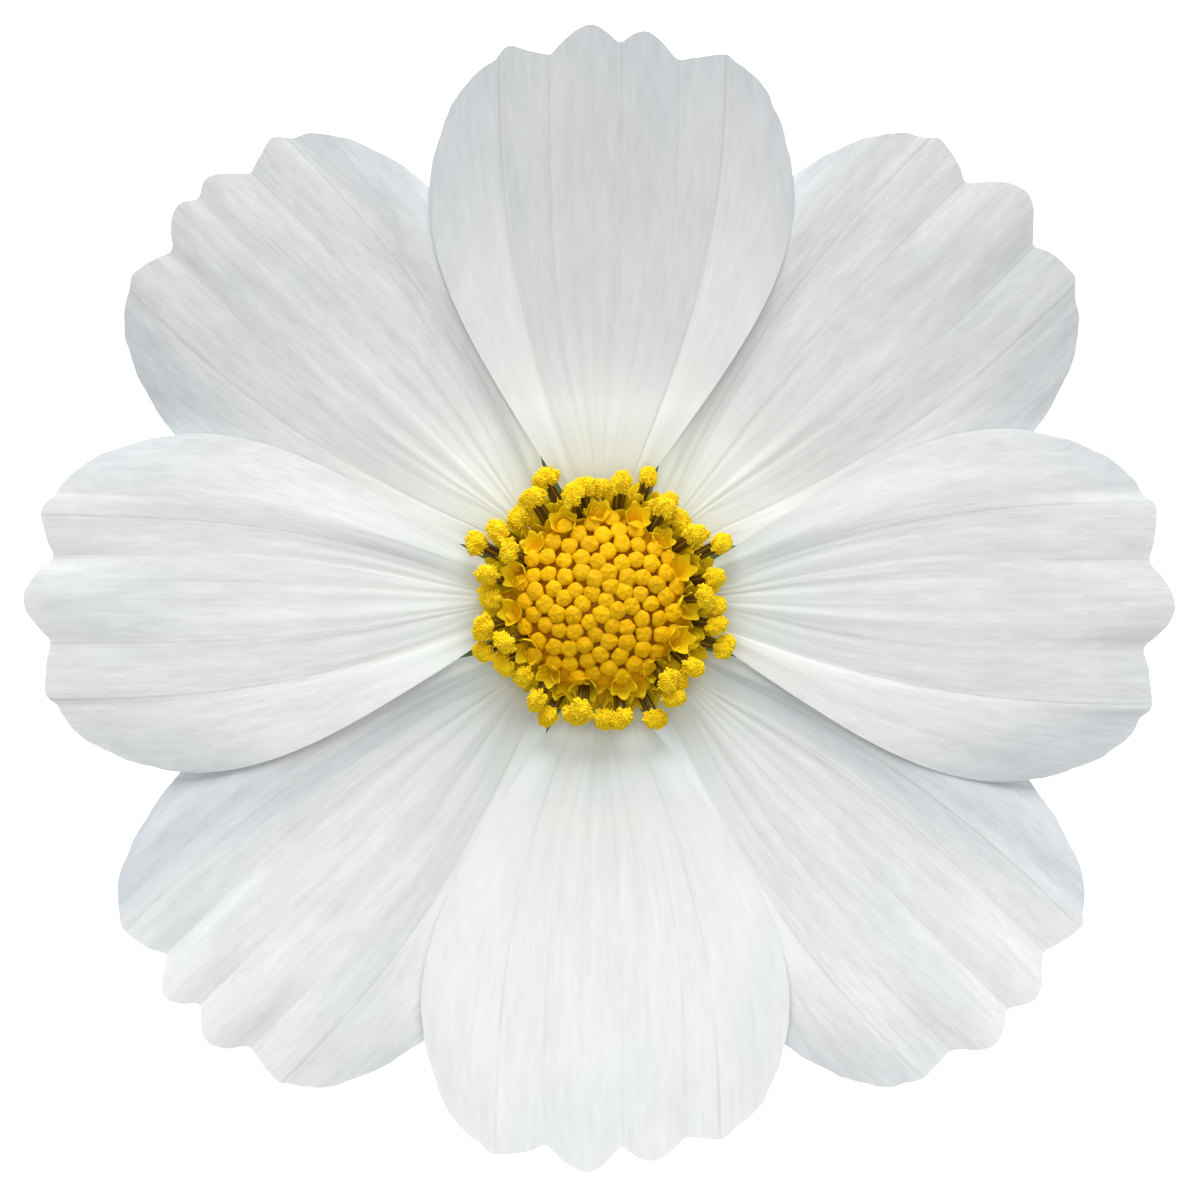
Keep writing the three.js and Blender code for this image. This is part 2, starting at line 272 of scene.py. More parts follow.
def smoothPiece(piece, finish):
    scene.collection.objects.link(piece)
    piece.data.shade_smooth()
    piece.data.materials.append(finish)
    return piece


def dress(piece, slot, *nodes):
    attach(piece, "root")
    if nodes:
        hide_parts(*nodes)
    print(piece.name, len(piece.data.polygons), "faces")


# Finishes. A shader starts with the constants of its surface.
def newFinish(name, surface):
    material = bpy.data.materials.new(name)
    material.use_nodes = True
    tree = Tree(material.node_tree)
    tree.material = material
    tree.surface = material.node_tree.nodes["Principled BSDF"]
    for label, value in surface.items():
        tree.surface.inputs[label].default_value = value
    return tree


def coat(tree, look, grain, relief, color, shade):
    # the last steps of every finish: shade holds one number, or one each for red, green and blue
    shades = shade if isinstance(shade, tuple) else (shade, shade, shade)
    feeds = {
        "Base Color": tree.mixColor(1.0, color, tree.vector(*shades), "MULTIPLY"),
        "Roughness": look["roughness"] + (grain - 0.5) * look["roughnessGrain"],
        "Normal": tree.add(
            "ShaderNodeBump",
            None,
            {"Strength": look["bump"], "Distance": look["bumpDepth"] * mm, "Height": relief},
        ),
    }
    for label, wire in feeds.items():
        tree.nodeTree.links.new(wire.socket, tree.surface.inputs[label])
    return tree.material


def softSurface(weight, radius, depth, shine):
    return {
        "Subsurface Weight": weight,
        "Subsurface Radius": radius,
        "Subsurface Scale": depth * mm,
        "Specular IOR Level": shine,
    }


petalFinish = {
    "surface": softSurface(0.08, (1.0, 1.0, 1.0), 0.1, 0.25),
    "white": rgb(0.885, 0.88, 0.868),
    "cool": rgb(0.8, 0.83, 0.836),
    # cream near the claw: the petal's own colour, made paler and greener as painted light against the shade
    # and the yellow that the disc reflects there
    "creamAndPaintedLight": rgb(0.895, 0.955, 0.905),
    "veinShade": rgb(0.78, 0.785, 0.77),
    "creasePaintedShade": rgb(0.68, 0.68, 0.64),
    "pleatPaintedShade": rgb(0.66, 0.69, 0.6),
    "clawGreen": rgb(0.5, 0.6, 0.24),
    # patterns: scale across and along the blade, detail, roughness
    "fibres": (3.2, 20.0, 5.0, 0.65),
    "streaks": (1.3, 7.0, 4.0, 0.6),
    "clouds": (0.16, 2.2, 2.0, 0.5),
    "patches": (0.5, 5.0, 2.0, 0.5),
    "streakShift": 3.0,
    "cloudShift": 7.0,
    "veinSpacing": 0.62,
    "veinWidth": 0.16,
    "veinAstray": 0.5,
    "veinDraw": (1.7, 31.3),  # sets each vein's strength apart from its place
    "veinPatches": (0.3, 0.75),
    "veinStrength": 0.52,
    "veinRelief": 0.6,
    "creaseWidth": (0.02, 0.16),
    "creasePatches": (0.15, 0.6),
    "creaseStrength": 0.7,
    "pleatStrength": 0.27,
    "fibreStrength": 0.12,
    "streakStrength": 0.14,
    "creamAndPaintedLightStrength": 0.8,
    "coolClouds": (0.35, 0.7),
    "coolStrengths": (0.2, 0.75),  # in the inner half and at the tip
    # reaches: shares of the way from claw to tip
    "coolReach": (0.4, 0.95),
    "creamAndPaintedLightReach": (0.1, 0.42),
    "pleatReach": (0.0, 0.08, 0.15, 0.8),
    "clawReach": (0.0, 0.09),
    "paintedShadeReach": (0.05, 0.2, 0.55, 0.95),
    "mottleReach": (0.1, 0.5),
    "brightness": 0.98,
    "paintedShadeHue": 0.17,
    "rootPaintedLightHue": 0.5,
    "roughness": 0.58,
    "roughnessGrain": 0.2,
    "bump": 0.12,
    "bumpDepth": 0.12,
}


def petalMaterial():
    look = petalFinish
    tree = newFinish("petalWhite", look["surface"])
    across = tree.number("fan")
    share = tree.number("share")
    seed = tree.number("petalSeed")

    def chance(number):  # from 0 to 1, another one for each vein
        return tree.add("ShaderNodeTexWhiteNoise", {"noise_dimensions": "1D"}, {"W": number})

    fibres = tree.pattern(across, share, seed, look["fibres"])
    patches = tree.pattern(across, share, seed, look["patches"])
    clouds = tree.pattern(across, share, seed + look["cloudShift"], look["clouds"])
    streaks = tree.pattern(across, share, seed + look["streakShift"], look["streaks"])
    # fine veins: each has a place of its own near a whole multiple of the spacing
    cell = across / look["veinSpacing"]
    whole = tree.math("ROUND", cell)
    away = tree.math("ABSOLUTE", cell - whole + (chance(whole + seed) - 0.5) * look["veinAstray"])
    vein = (1 - tree.smooth(away, 0.0, look["veinWidth"])) * tree.smooth(patches, *look["veinPatches"])
    vein = vein * chance(whole * look["veinDraw"][0] + seed + look["veinDraw"][1])
    # painted shade: thin dark lines along the creases, notches and pleats, and darker pleats
    away = tree.math("ABSOLUTE", tree.number("away"))
    crease = (1 - tree.smooth(away, *look["creaseWidth"])) * tree.number("lineStrength")
    crease = crease * tree.smooth(patches, *look["creasePatches"])
    pleat = tree.number("pleat") * -look["pleatStrength"] * tree.between(share, look["pleatReach"])
    cool = tree.blend(tree.smooth(share, *look["coolReach"]), *look["coolStrengths"])
    base = tree.layered(
        look["white"],
        (tree.smooth(clouds, *look["coolClouds"]) * cool, look["cool"]),
        # the petal's own cream near the claw, with painted light that lifts the shade and cools the disc's
        # yellow
        ((1 - tree.smooth(share, *look["creamAndPaintedLightReach"])) * look["creamAndPaintedLightStrength"], look["creamAndPaintedLight"]),
        (vein * look["veinStrength"], look["veinShade"]),
        (crease * look["creaseStrength"], look["creasePaintedShade"]),
        (pleat, look["pleatPaintedShade"]),
        (1 - tree.smooth(share, *look["clawReach"]), look["clawGreen"]),
    )
    mottle = (fibres - 0.5) * look["fibreStrength"] + (streaks - 0.5) * look["streakStrength"]
    mottle = mottle * tree.number("mottle") * tree.smooth(share, *look["mottleReach"])
    grey = tree.number("grey") * tree.between(share, look["paintedShadeReach"]) + tree.number("dim")
    # painted light: each petal's tone brightens or darkens the whole petal
    shade = (look["brightness"] + mottle - grey) * tree.number("petalTone")
    # the painted shade is bluer, and so is the painted light on the roots, which the disc tints yellow
    hue = tree.math("MAXIMUM", grey * look["paintedShadeHue"], grey * -look["rootPaintedLightHue"])
    relief = fibres - vein * look["veinRelief"] - crease
    return coat(tree, look, fibres, relief, base, (shade - hue, shade, shade + hue))


budFinish = {
    "surface": softSurface(0.35, (1.0, 0.6, 0.1), 0.25, 0.08),
    # colours from the root to the top: darker and redder further down, as painted shade between the buds
    "root": rgb(0.68, 0.26, 0.002),
    "side": rgb(0.91, 0.45, 0.002),
    "top": rgb(0.93, 0.525, 0.003),
    "sideReach": (0.05, 0.35),
    "topReach": (0.45, 0.95),
    "grainScale": 5500.0,
    "mottleScale": 2200.0,
    "shade": 0.86,
    "shadeTone": 0.2,
    "shadeGrain": 0.25,
    "roughness": 0.5,
    "roughnessGrain": 0.3,
    "grainRelief": 0.5,
    "bump": 0.6,
    "bumpDepth": 0.12,
}


def budMaterial():
    look = budFinish
    tree = newFinish("budYellow", look["surface"])
    rise = tree.number("rise")
    grain = tree.grain(look["grainScale"])
    mottle = tree.grain(look["mottleScale"], 2.0)
    # painted shade: darker and redder towards the root
    color = tree.layered(
        look["root"],
        (tree.smooth(rise, *look["sideReach"]), look["side"]),
        (tree.smooth(rise, *look["topReach"]), look["top"]),
    )
    shade = look["shade"] + tree.number("tone") * look["shadeTone"] + (mottle - 0.5) * look["shadeGrain"]
    return coat(tree, look, grain, mottle + grain * look["grainRelief"], color, shade)


floretFinish = {
    "surface": softSurface(0.12, (1.0, 0.9, 0.1), 0.15, 0.15),
    # from root to lobe: more orange further down, as painted shade deep in the cup
    "root": rgb(1.0, 0.66, 0.004),
    "lobe": rgb(1.0, 0.73, 0.008),
    "lobeReach": (0.0, 0.75),
    "grainScale": 2200.0,
    "shade": 0.88,
    "shadeTone": 0.16,
    "shadeGrain": 0.16,
    "roughness": 0.5,
    "roughnessGrain": 0.25,
    "bump": 0.2,
    "bumpDepth": 0.04,
}


def floretMaterial():
    look = floretFinish
    tree = newFinish("floretYellow", look["surface"])
    grain = tree.grain(look["grainScale"])
    # painted shade: more orange towards the root
    color = tree.mixColor(tree.smooth(tree.number("rise"), *look["lobeReach"]), look["root"], look["lobe"])
    shade = look["shade"] + tree.number("tone") * look["shadeTone"] + (grain - 0.5) * look["shadeGrain"]
    return coat(tree, look, grain, grain, color, shade)


pollenFinish = {
    "deep": rgb(1.0, 0.68, 0.008),
    "light": rgb(1.0, 0.76, 0.015),
    "lightPatches": (0.3, 0.7),
    "grainScale": 3500.0,
    "roughness": 0.75,
    "roughnessGrain": 0.2,
    "bump": 0.4,
    "bumpDepth": 0.04,
}


def pollenMaterial():
    look = pollenFinish
    tree = newFinish("pollenYellow", floretFinish["surface"])
    grain = tree.grain(look["grainScale"])
    color = tree.mixColor(tree.smooth(grain, *look["lightPatches"]), look["deep"], look["light"])
    return coat(tree, look, grain, grain, color, 1.0)


antherFinish = {
    "surface": {"Specular IOR Level": 0.35},
    "brown": rgb(0.085, 0.045, 0.004),
    "seam": rgb(0.42, 0.25, 0.01),
    "seamReach": (0.45, 0.95),
    "seamTone": 0.5,
    "grainScale": 2500.0,
    "shade": 0.8,
    "shadeGrain": 0.4,
    "roughness": 0.45,
    "roughnessGrain": 0.3,
    "bump": 0.3,
    "bumpDepth": 0.04,
}


def antherMaterial():
    look = antherFinish
    tree = newFinish("antherBrown", look["surface"])
    grain = tree.grain(look["grainScale"])
    seam = tree.smooth(tree.number("seam"), *look["seamReach"])
    seam = seam * (1 - look["seamTone"] + tree.number("tone") * look["seamTone"])
    color = tree.mixColor(seam, look["brown"], look["seam"])
    return coat(tree, look, grain, grain, color, look["shade"] + grain * look["shadeGrain"])


bedFinish = {
    "surface": {"Specular IOR Level": 0.2},
    "brown": rgb(0.55, 0.24, 0.003),
    "tip": rgb(0.95, 0.58, 0.004),
    "under": rgb(0.42, 0.46, 0.12),
    "tipReach": (0.3, 1.0),
    "grainScale": 1500.0,
    "shade": 0.5,
    "roughness": 0.6,
    "roughnessGrain": 0.3,
    "bump": 0.5,
    "bumpDepth": 0.06,
}


def bedMaterial():
    look = bedFinish
    tree = newFinish("bedBrown", look["surface"])
    grain = tree.grain(look["grainScale"], 4.0)
    color = tree.layered(
        look["brown"],
        (tree.smooth(tree.number("rise"), *look["tipReach"]), look["tip"]),
        (tree.number("under"), look["under"]),
    )
    return coat(tree, look, grain, grain, color, look["shade"] + grain)


greenFinish = {
    "surface": softSurface(0.1, (0.4, 1.0, 0.2), 0.3, 0.35),
    # colours: the blade, its light streaks, its lines and middle rib
    "leaf": (rgb(0.05, 0.075, 0.012), rgb(0.09, 0.13, 0.022), rgb(0.16, 0.24, 0.07)),
    "pale": (rgb(0.3, 0.33, 0.1), rgb(0.5, 0.5, 0.26), rgb(0.13, 0.085, 0.025)),
    "streaks": (9.0, 2.0, 4.0, 0.6),  # scale across and along the blade, detail, roughness
    "streakShift": 3.0,
    "streakPatches": (0.35, 0.7),
    "lineTurns": 20.0,
    "lineSharpness": 6.0,
    "lineStrength": 0.5,
    "ribWidth": 0.12,
    "ribStrength": 0.8,
    "grainScale": 900.0,
    "grainRelief": 0.5,
    "shade": 0.85,
    "shadeGrain": 0.3,
    "roughness": 0.5,
    "roughnessGrain": 0.25,
    "bump": 0.3,
    "bumpDepth": 0.08,
}


def greenMaterial(name, colors):
    look = greenFinish
    main, light, line = look[colors]
    tree = newFinish(name, look["surface"])
    across = tree.number("across")
    streak = tree.pattern(across, tree.number("share"), look["streakShift"], look["streaks"])
    grain = tree.grain(look["grainScale"])
    lines = (tree.math("SINE", across * look["lineTurns"]) * 0.5 + 0.5) ** look["lineSharpness"]
    rib = 1 - tree.smooth(tree.math("ABSOLUTE", across), 0.0, look["ribWidth"])
    drawn = tree.math("MAXIMUM", lines * look["lineStrength"], rib * look["ribStrength"])
    color = tree.layered(main, (tree.smooth(streak, *look["streakPatches"]), light), (drawn, line))
    relief = streak + grain * look["grainRelief"]
    return coat(tree, look, grain, relief, color, look["shade"] + grain * look["shadeGrain"])


# Petals. "along" runs out from the axis, "across" to the left of it. The outline follows listed points;
# the tree bends the flat blade into its bowl and folds it.
petalForm = {
    "layers": {
        "upper": {"Shelf": 7.45, "Rise": 3.9, "Wing Drop": 0.1},
        "lower": {"Shelf": 6.5, "Rise": 4.0, "Wing Drop": 0.2},
    },
    "clawRadius": 4.6,
    "clawHalfWidth": 1.5,
    "clawWaist": 0.18,
    "waistReach": (0.1, 0.3),
    "widestAlong": 26.5,
    "fillExponent": 1.2,
    "wingExponent": 1.7,
    "creaseBunching": 2.5,
    "shelfAlong": 13.0,
    "tipAlong": 37.0,
    "riseExponent": 1.3,
    "liftStart": 7.0,
    "liftWhole": 13.0,
    "liftExponent": 0.6,
    "liftEnd": 0.88,
    "dropReach": (0.6, 1.0),
    "lobeRelief": 0.35,
    "lobeReach": 2.0,
    "seatTop": 5.2,
    "solidThickness": 0.68,
    "thickness": 0.3,
    "marginThickness": 0.08,
    "wingMargin": (0.4, 1.0),  # where the blade thins towards its sides and its tip
    "tipMargin": (0.82, 1.0),
    "notchSlope": 1.7,
    "foldDepth": 1.0,
    "foldRounding": 0.45,
    "foldReach": (0.02, 0.3),
    "foldFade": (0.3, 1.0),
    "foldAtTip": 0.4,  # how much of a fold's height is left at the margin
    "pleats": [(-4.9, 0.5), (-2.9, 0.8), (-1.1, 0.75), (0.3, 0.5), (1.7, 0.8), (3.2, 0.8), (4.9, 0.5)],
    "pleatAstray": 0.4,
    "pleatSpread": (0.5, 1.1),
    "pleatWidth": 0.85,
    "pleatDepth": 0.055,
    "pleatReach": (0.03, 0.15, 0.25, 0.8),
    # lines: depth at the claw for creases and notches, depth at the tip, how dark their painted shade is
    "pleatLine": (0.1, 0.35),
    "creaseLine": (0.5, 0.8, 1.0),
    "notchLine": (0.0, 0.5, 1.0),
    "waves": [(3.1, 0.07), (1.3, 0.035)],  # length and height along the margin
    "wavePhase": (0.37, 5),  # for each degree of the petal's direction and each millimetre of wave length
    "waveWander": (1.5, 3),  # how far the waves' spacing wanders, and over what way
    "waveEnds": 0.5,
    "waveAcross": 12,  # a wave 1 mm high widens the blade by one part in 12
    "waveAlong": 0.3,
    "roundings": 6,  # how often the margin's points move half way to their neighbours' middle
    # where the painted shade and light lie: beside the creases, at the panel's edge, on wings and tips, and
    # near the claw
    "shadeWidth": 2.2,
    "shadeEdge": 0.25,
    "wingBlend": 1.5,
    "wingReach": (0.35, 0.8),
    "tipReach": (0.6, 0.95),
    "rootBlend": 1.5,
    "rootReach": (0.4, 0.21),
    "fanWhole": 1.1,
    "fanLength": 0.28,
    "fanEdge": 7.0,
    "fanMiddle": 2,
    "dropBlend": 5,
    "seedStep": 13.7,
    "crispEdge": 40,  # degrees
    "rows": 84,
    "wingColumns": 26,
    "columnStep": 0.13,
}
# Pairs are for the right and the left side. Folds are (across, height) and teeth (across, along), from right
# to left. Tone is painted light on the whole petal. The painted shade darkens the panel between the creases,
# the creases' sides, the tips, wings and roots, or paints light on them where its numbers are negative.
petals = [
    {
        "layer": "upper", "number": 1, "direction": 90, "tone": 1.02, "tipPaintedShade": 0.13, "grey": 0.1,
        "halfWidths": (12.7, 11.2), "creases": (-8.2, 6.6), "creaseSidePaintedShade": (0.02, 0.02), "mottle": 1.4,
        "lifts": (-0.1, -0.1), "drops": (0.4, 0.4), "wingPaintedShade": (0.03, 0.01),
        "rootPaintedShadeAndLight": (-0.03, -0.1, -0.03),
        "folds": [
            (-12.7, 0.2), (-8.3, -0.04), (-3.2, 0.08), (-0.3, -0.05), (0.6, 0.05), (6.6, -0.06), (11.2, 0.2),
        ],
        "teeth": [
            (-9, 34.9), (-8.2, 35.6), (-6.4, 35.4), (-5, 35.1), (-2.9, 37.1), (-1.3, 36.2), (0.6, 37.5),
            (3.2, 35.5), (4.6, 35.8), (6.1, 36.2), (6.9, 35),
        ],
    },
    {
        "layer": "lower", "number": 1, "direction": 45, "tone": 1.0, "tipPaintedShade": 0.06, "grey": 0.03,
        "halfWidths": (12.4, 10.9), "creases": (-7.4, 6.0), "creaseSidePaintedShade": (0.02, 0.1), "mottle": 2.1,
        "lifts": (0.1, 0.5), "drops": (0.25, 0.25), "wingPaintedShade": (0.06, 0.05), "rootPaintedShadeAndLight": (0.0, -0.06, -0.08),
        "folds": [
            (-12.4, 0.03), (-10.5, -0.11), (-9.5, -0.16), (-6.5, -0.17), (-5.5, -0.08), (-3.5, 0.03),
            (-1.5, 0.14), (-0.5, 0.01), (0.5, 0.13), (1.5, 0.08), (2.5, 0.11), (3.5, 0.09), (5.5, -0.08),
            (6.2, -0.04), (7.5, 0.08), (8.8, 0.28), (10.9, 0),
        ],
        "teeth": [
            (-8, 35.7), (-7, 36.9), (-5.2, 36.9), (-3.6, 36.2), (-0.8, 38.5), (2.4, 36), (3.8, 36.7),
            (5.7, 37), (6.5, 36.1),
        ],
    },
    {
        "layer": "upper", "number": 2, "direction": 0, "tone": 1.0, "tipPaintedShade": 0.1, "grey": 0.05,
        "halfWidths": (11.9, 11.2), "creases": (-6.8, 6.3), "creaseSidePaintedShade": (0.03, 0.08), "mottle": 2.0,
        "lifts": (0.05, 0.0), "drops": (0.15, 0.1), "wingPaintedShade": (0.06, 0.03), "rootPaintedShadeAndLight": (0.0, 0.05, 0.16),
        "folds": [
            (-11.9, 0.07), (-8.5, 0.03), (-7.5, 0), (-6.5, -0.11), (-5.5, -0.06), (-3.5, -0.04), (-2.5, 0),
            (-1.5, 0.1), (-0.5, 0.02), (2.5, -0.05), (4.5, -0.02), (5.9, -0.08), (8, 0.04), (9.2, 0.06),
            (11.2, 0.02),
        ],
        "teeth": [
            (-7.8, 35.1), (-7, 36), (-4.6, 35.8), (-3.2, 35.3), (-0.4, 37.5), (2.5, 35.7), (4.2, 36.2),
            (6.2, 36.3), (7, 35.2),
        ],
    },
    {
        "layer": "lower", "number": 2, "direction": -45, "tone": 1.01, "tipPaintedShade": 0.07, "grey": 0.08,
        "halfWidths": (12.3, 11.6), "creases": (-7.2, 7.0), "creaseSidePaintedShade": (0.02, 0.18), "mottle": 1.8,
        "lifts": (0.3, 0.35), "drops": (0.2, 0.1), "wingPaintedShade": (0.06, 0.14), "rootPaintedShadeAndLight": (-0.14, -0.03, 0.16),
        "folds": [
            (-12.3, 0.1), (-9.5, 0.1), (-7.6, -0.04), (-6.8, -0.12), (-5.5, -0.13), (-2.5, -0.09),
            (-1.5, -0.01), (0.3, -0.07), (1.5, -0.02), (3.5, 0.04), (5.5, 0.15), (7.5, 0.33), (9, 0.47),
            (11.6, 0.45),
        ],
        "teeth": [
            (-8.2, 36.3), (-7.3, 37), (-4.5, 36.9), (-2.2, 38.7), (0, 37.5), (1.6, 38.5), (4.1, 36.6),
            (7.1, 37.3), (8, 36.5),
        ],
    },
    {
        "layer": "upper", "number": 3, "direction": -90, "tone": 1.02, "tipPaintedShade": 0.06, "grey": 0.03,
        "halfWidths": (11.7, 12.4), "creases": (-6.8, 7.8), "creaseSidePaintedShade": (0.02, 0.02), "mottle": 1.2,
        "lifts": (0.1, 0.1), "drops": (0.05, 0.05), "wingPaintedShade": (0.02, 0.02),
        "rootPaintedShadeAndLight": (-0.08, -0.07, -0.08),
        "folds": [
            (-11.7, 0.15), (-6.9, -0.05), (-1.8, 0.06), (0, -0.05), (1.6, 0.05), (7.8, -0.06), (12.4, 0.15),
        ],
        "teeth": [
            (-7.8, 35.3), (-6.9, 36.2), (-5, 36), (-3.5, 35.4), (-0.8, 37.3), (1.4, 35.5), (3.3, 36.6),
            (5.5, 35), (8, 35.2), (8.8, 34.3),
        ],
    },
    {
        "layer": "lower", "number": 3, "direction": -135, "tone": 1.0, "tipPaintedShade": 0.06, "grey": 0.07,
        "halfWidths": (11.5, 12.4), "creases": (-6.6, 7.6), "creaseSidePaintedShade": (0.18, 0.03), "mottle": 1.9,
        "lifts": (0.45, 0.3), "drops": (0.1, 0.2), "wingPaintedShade": (0.18, 0.04), "rootPaintedShadeAndLight": (0.12, 0.0, -0.05),
        "folds": [
            (-11.5, 0.35), (-9, 0.32), (-7.5, 0.27), (-5.5, 0.11), (-3.5, 0), (-2.5, -0.02), (-0.5, -0.03),
            (1.5, 0), (2.5, -0.11), (4.5, -0.13), (5.5, -0.17), (6.5, -0.26), (7.6, -0.35), (9.5, -0.36),
            (10.5, -0.28), (12.4, -0.08),
        ],
        "teeth": [
            (-8, 36.3), (-6.9, 37.2), (-5.2, 37), (-3.6, 36.2), (-1.6, 38.4), (0.2, 36.9), (2.3, 38.5),
            (4.4, 36.7), (7.3, 37.1), (8.2, 36.4),
        ],
    },
    {
        "layer": "upper", "number": 4, "direction": 180, "tone": 1.01, "tipPaintedShade": 0.07, "grey": 0.04,
        "halfWidths": (10.9, 11.3), "creases": (-5.4, 6.5), "creaseSidePaintedShade": (0.02, 0.03), "mottle": 2.0,
        "lifts": (0.1, 0.1), "drops": (0.1, 0.15), "wingPaintedShade": (0.04, 0.03), "rootPaintedShadeAndLight": (0.12, 0.02, -0.06),
        "folds": [
            (-10.9, -0.05), (-8.5, 0.04), (-7.5, 0.14), (-6.5, 0.08), (-5.4, -0.08), (-4.5, -0.12),
            (-2.5, -0.09), (-0.5, 0), (0.5, -0.01), (1.5, 0.08), (3.5, 0.01), (6.5, -0.04), (7.5, 0),
            (9.5, 0), (11.3, 0.12),
        ],
        "teeth": [
            (-6.9, 35.4), (-5.9, 36.5), (-4.4, 36.2), (-2.8, 35.5), (-0.1, 37.6), (2.7, 35.7), (4, 36.1),
            (6.1, 36.2), (6.9, 35.3),
        ],
    },
    {
        "layer": "lower", "number": 4, "direction": 135, "tone": 1.01, "tipPaintedShade": 0.07, "grey": 0.05,
        "halfWidths": (11.3, 12.1), "creases": (-6.8, 7.4), "creaseSidePaintedShade": (0.09, 0.0), "mottle": 2.1,
        "lifts": (0.5, 0.1), "drops": (0.15, 0.15), "wingPaintedShade": (0.1, 0.1), "rootPaintedShadeAndLight": (0.0, -0.06, 0.0),
        "folds": [
            (-11.3, 0), (-9.2, 0.28), (-8.2, 0.16), (-7.5, 0.08), (-6.5, -0.03), (-5.5, -0.03), (-4.5, 0.03),
            (-3.5, 0.05), (-2.5, 0.02), (-0.5, 0.06), (0.5, 0.2), (1.5, 0.07), (2.5, 0.14), (3.5, 0.08),
            (4.5, 0.03), (6.5, -0.13), (7.4, -0.18), (9.5, -0.29), (12.1, -0.27),
        ],
        "teeth": [
            (-7.2, 35.4), (-6.1, 36.5), (-5.2, 36.3), (-3.5, 35.7), (-1.2, 37.6), (0, 36.9), (1.2, 37.7),
            (3.6, 35.8), (6.7, 36.6), (7.6, 35.8),
        ],
    },
]


def toothLine(knots, places):
    # a line through the knots with round tips and kinked notches
    x, y = np.array(knots, float).T
    step = np.diff(x)
    slope = np.diff(y) / step
    before = np.concatenate([[slope[0]], slope])  # slope of the stretch that ends at each knot
    after = np.concatenate([slope, [slope[-1]]])
    even = np.where(before * after > 0, 2 * before * after / (before + after + 1e-9), 0)
    notch = (before < 0) & (after > 0)
    arriving = np.where(notch, petalForm["notchSlope"] * before, even)
    leaving = np.where(notch, petalForm["notchSlope"] * after, even)
    k = np.clip(np.searchsorted(x, places) - 1, 0, len(step) - 1)
    t = (places - x[k]) / step[k]
    line = y[k] + (y[k + 1] - y[k]) * t * t * (3 - 2 * t)
    return line + step[k] * (leaving[k] * t * (1 - t) ** 2 - arriving[k + 1] * t * t * (1 - t))


def petalMargin(petal):
    form = petalForm
    teeth = petal["teeth"]

    def wing(shoulder, edge):  # from the outermost tooth to the petal's widest place
        turn = np.arange(1, form["wingColumns"] + 1) / form["wingColumns"] * math.pi / 2
        across = shoulder[0] + (edge - shoulder[0]) * np.sin(turn) ** (2 / form["wingExponent"])
        reach = shoulder[1] - form["widestAlong"]
        return across, form["widestAlong"] + reach * np.cos(turn) ** (2 / form["wingExponent"])

    right = wing(teeth[0], -petal["halfWidths"][0])
    left = wing(teeth[-1], petal["halfWidths"][1])
    columns = round((teeth[-1][0] - teeth[0][0]) / form["columnStep"]) + 1
    middle = np.linspace(teeth[0][0], teeth[-1][0], columns)
    across = np.concatenate([right[0][::-1], middle, left[0]])
    along = np.concatenate([right[1][::-1], toothLine(teeth, middle), left[1]])
    for _ in range(form["roundings"]):
        for line in (across, along):
            line[1:-1] = (line[:-2] + 2 * line[1:-1] + line[2:]) / 4
    # shallow waves, each petal its own
    way = np.concatenate([[0], np.cumsum(np.hypot(np.diff(across), np.diff(along)))])
    perDegree, perLength = form["wavePhase"]
    wander, wanderWay = form["waveWander"]
    for length, size in form["waves"]:
        phase = petal["direction"] * perDegree + length * perLength
        turn = way * 2 * math.pi / length + phase + wander * np.sin(way / wanderWay + phase)
        wave = size * np.sin(turn) * np.sin(math.pi * way / way[-1]) ** form["waveEnds"]
        across = across * (1 + wave / form["waveAcross"])
        along = along + wave * form["waveAlong"]
    return across, along


def fanned(across, share):
    # lines near the middle of a petal run together towards the claw, the outer creases hardly do
    form = petalForm
    spread = form["fanWhole"] * (1 - np.exp(-share / form["fanLength"]))
    middle = ramp(np.abs(across), form["fanEdge"], form["fanMiddle"])
    return across / np.maximum(1 - (1 - spread) * middle, 0.01)


def petalLines(petal, seed):
    # pleats, creases and notch lines: place on the fan, depth at the claw and the tip, how dark their painted
    # shade is
    form = petalForm
    rng = np.random.default_rng(seed)
    lines = []
    for place, depth in form["pleats"]:
        place = place + rng.uniform(-form["pleatAstray"], form["pleatAstray"])
        lines.append((place, depth * rng.uniform(*form["pleatSpread"]), *form["pleatLine"]))
    for place in petal["creases"]:
        lines.append((place, *form["creaseLine"]))
    teeth = petal["teeth"]
    for before, here, after in zip(teeth, teeth[1:], teeth[2:]):
        if here[1] < before[1] and here[1] < after[1]:
            lines.append((here[0], *form["notchLine"]))
    return np.array(sorted(lines))


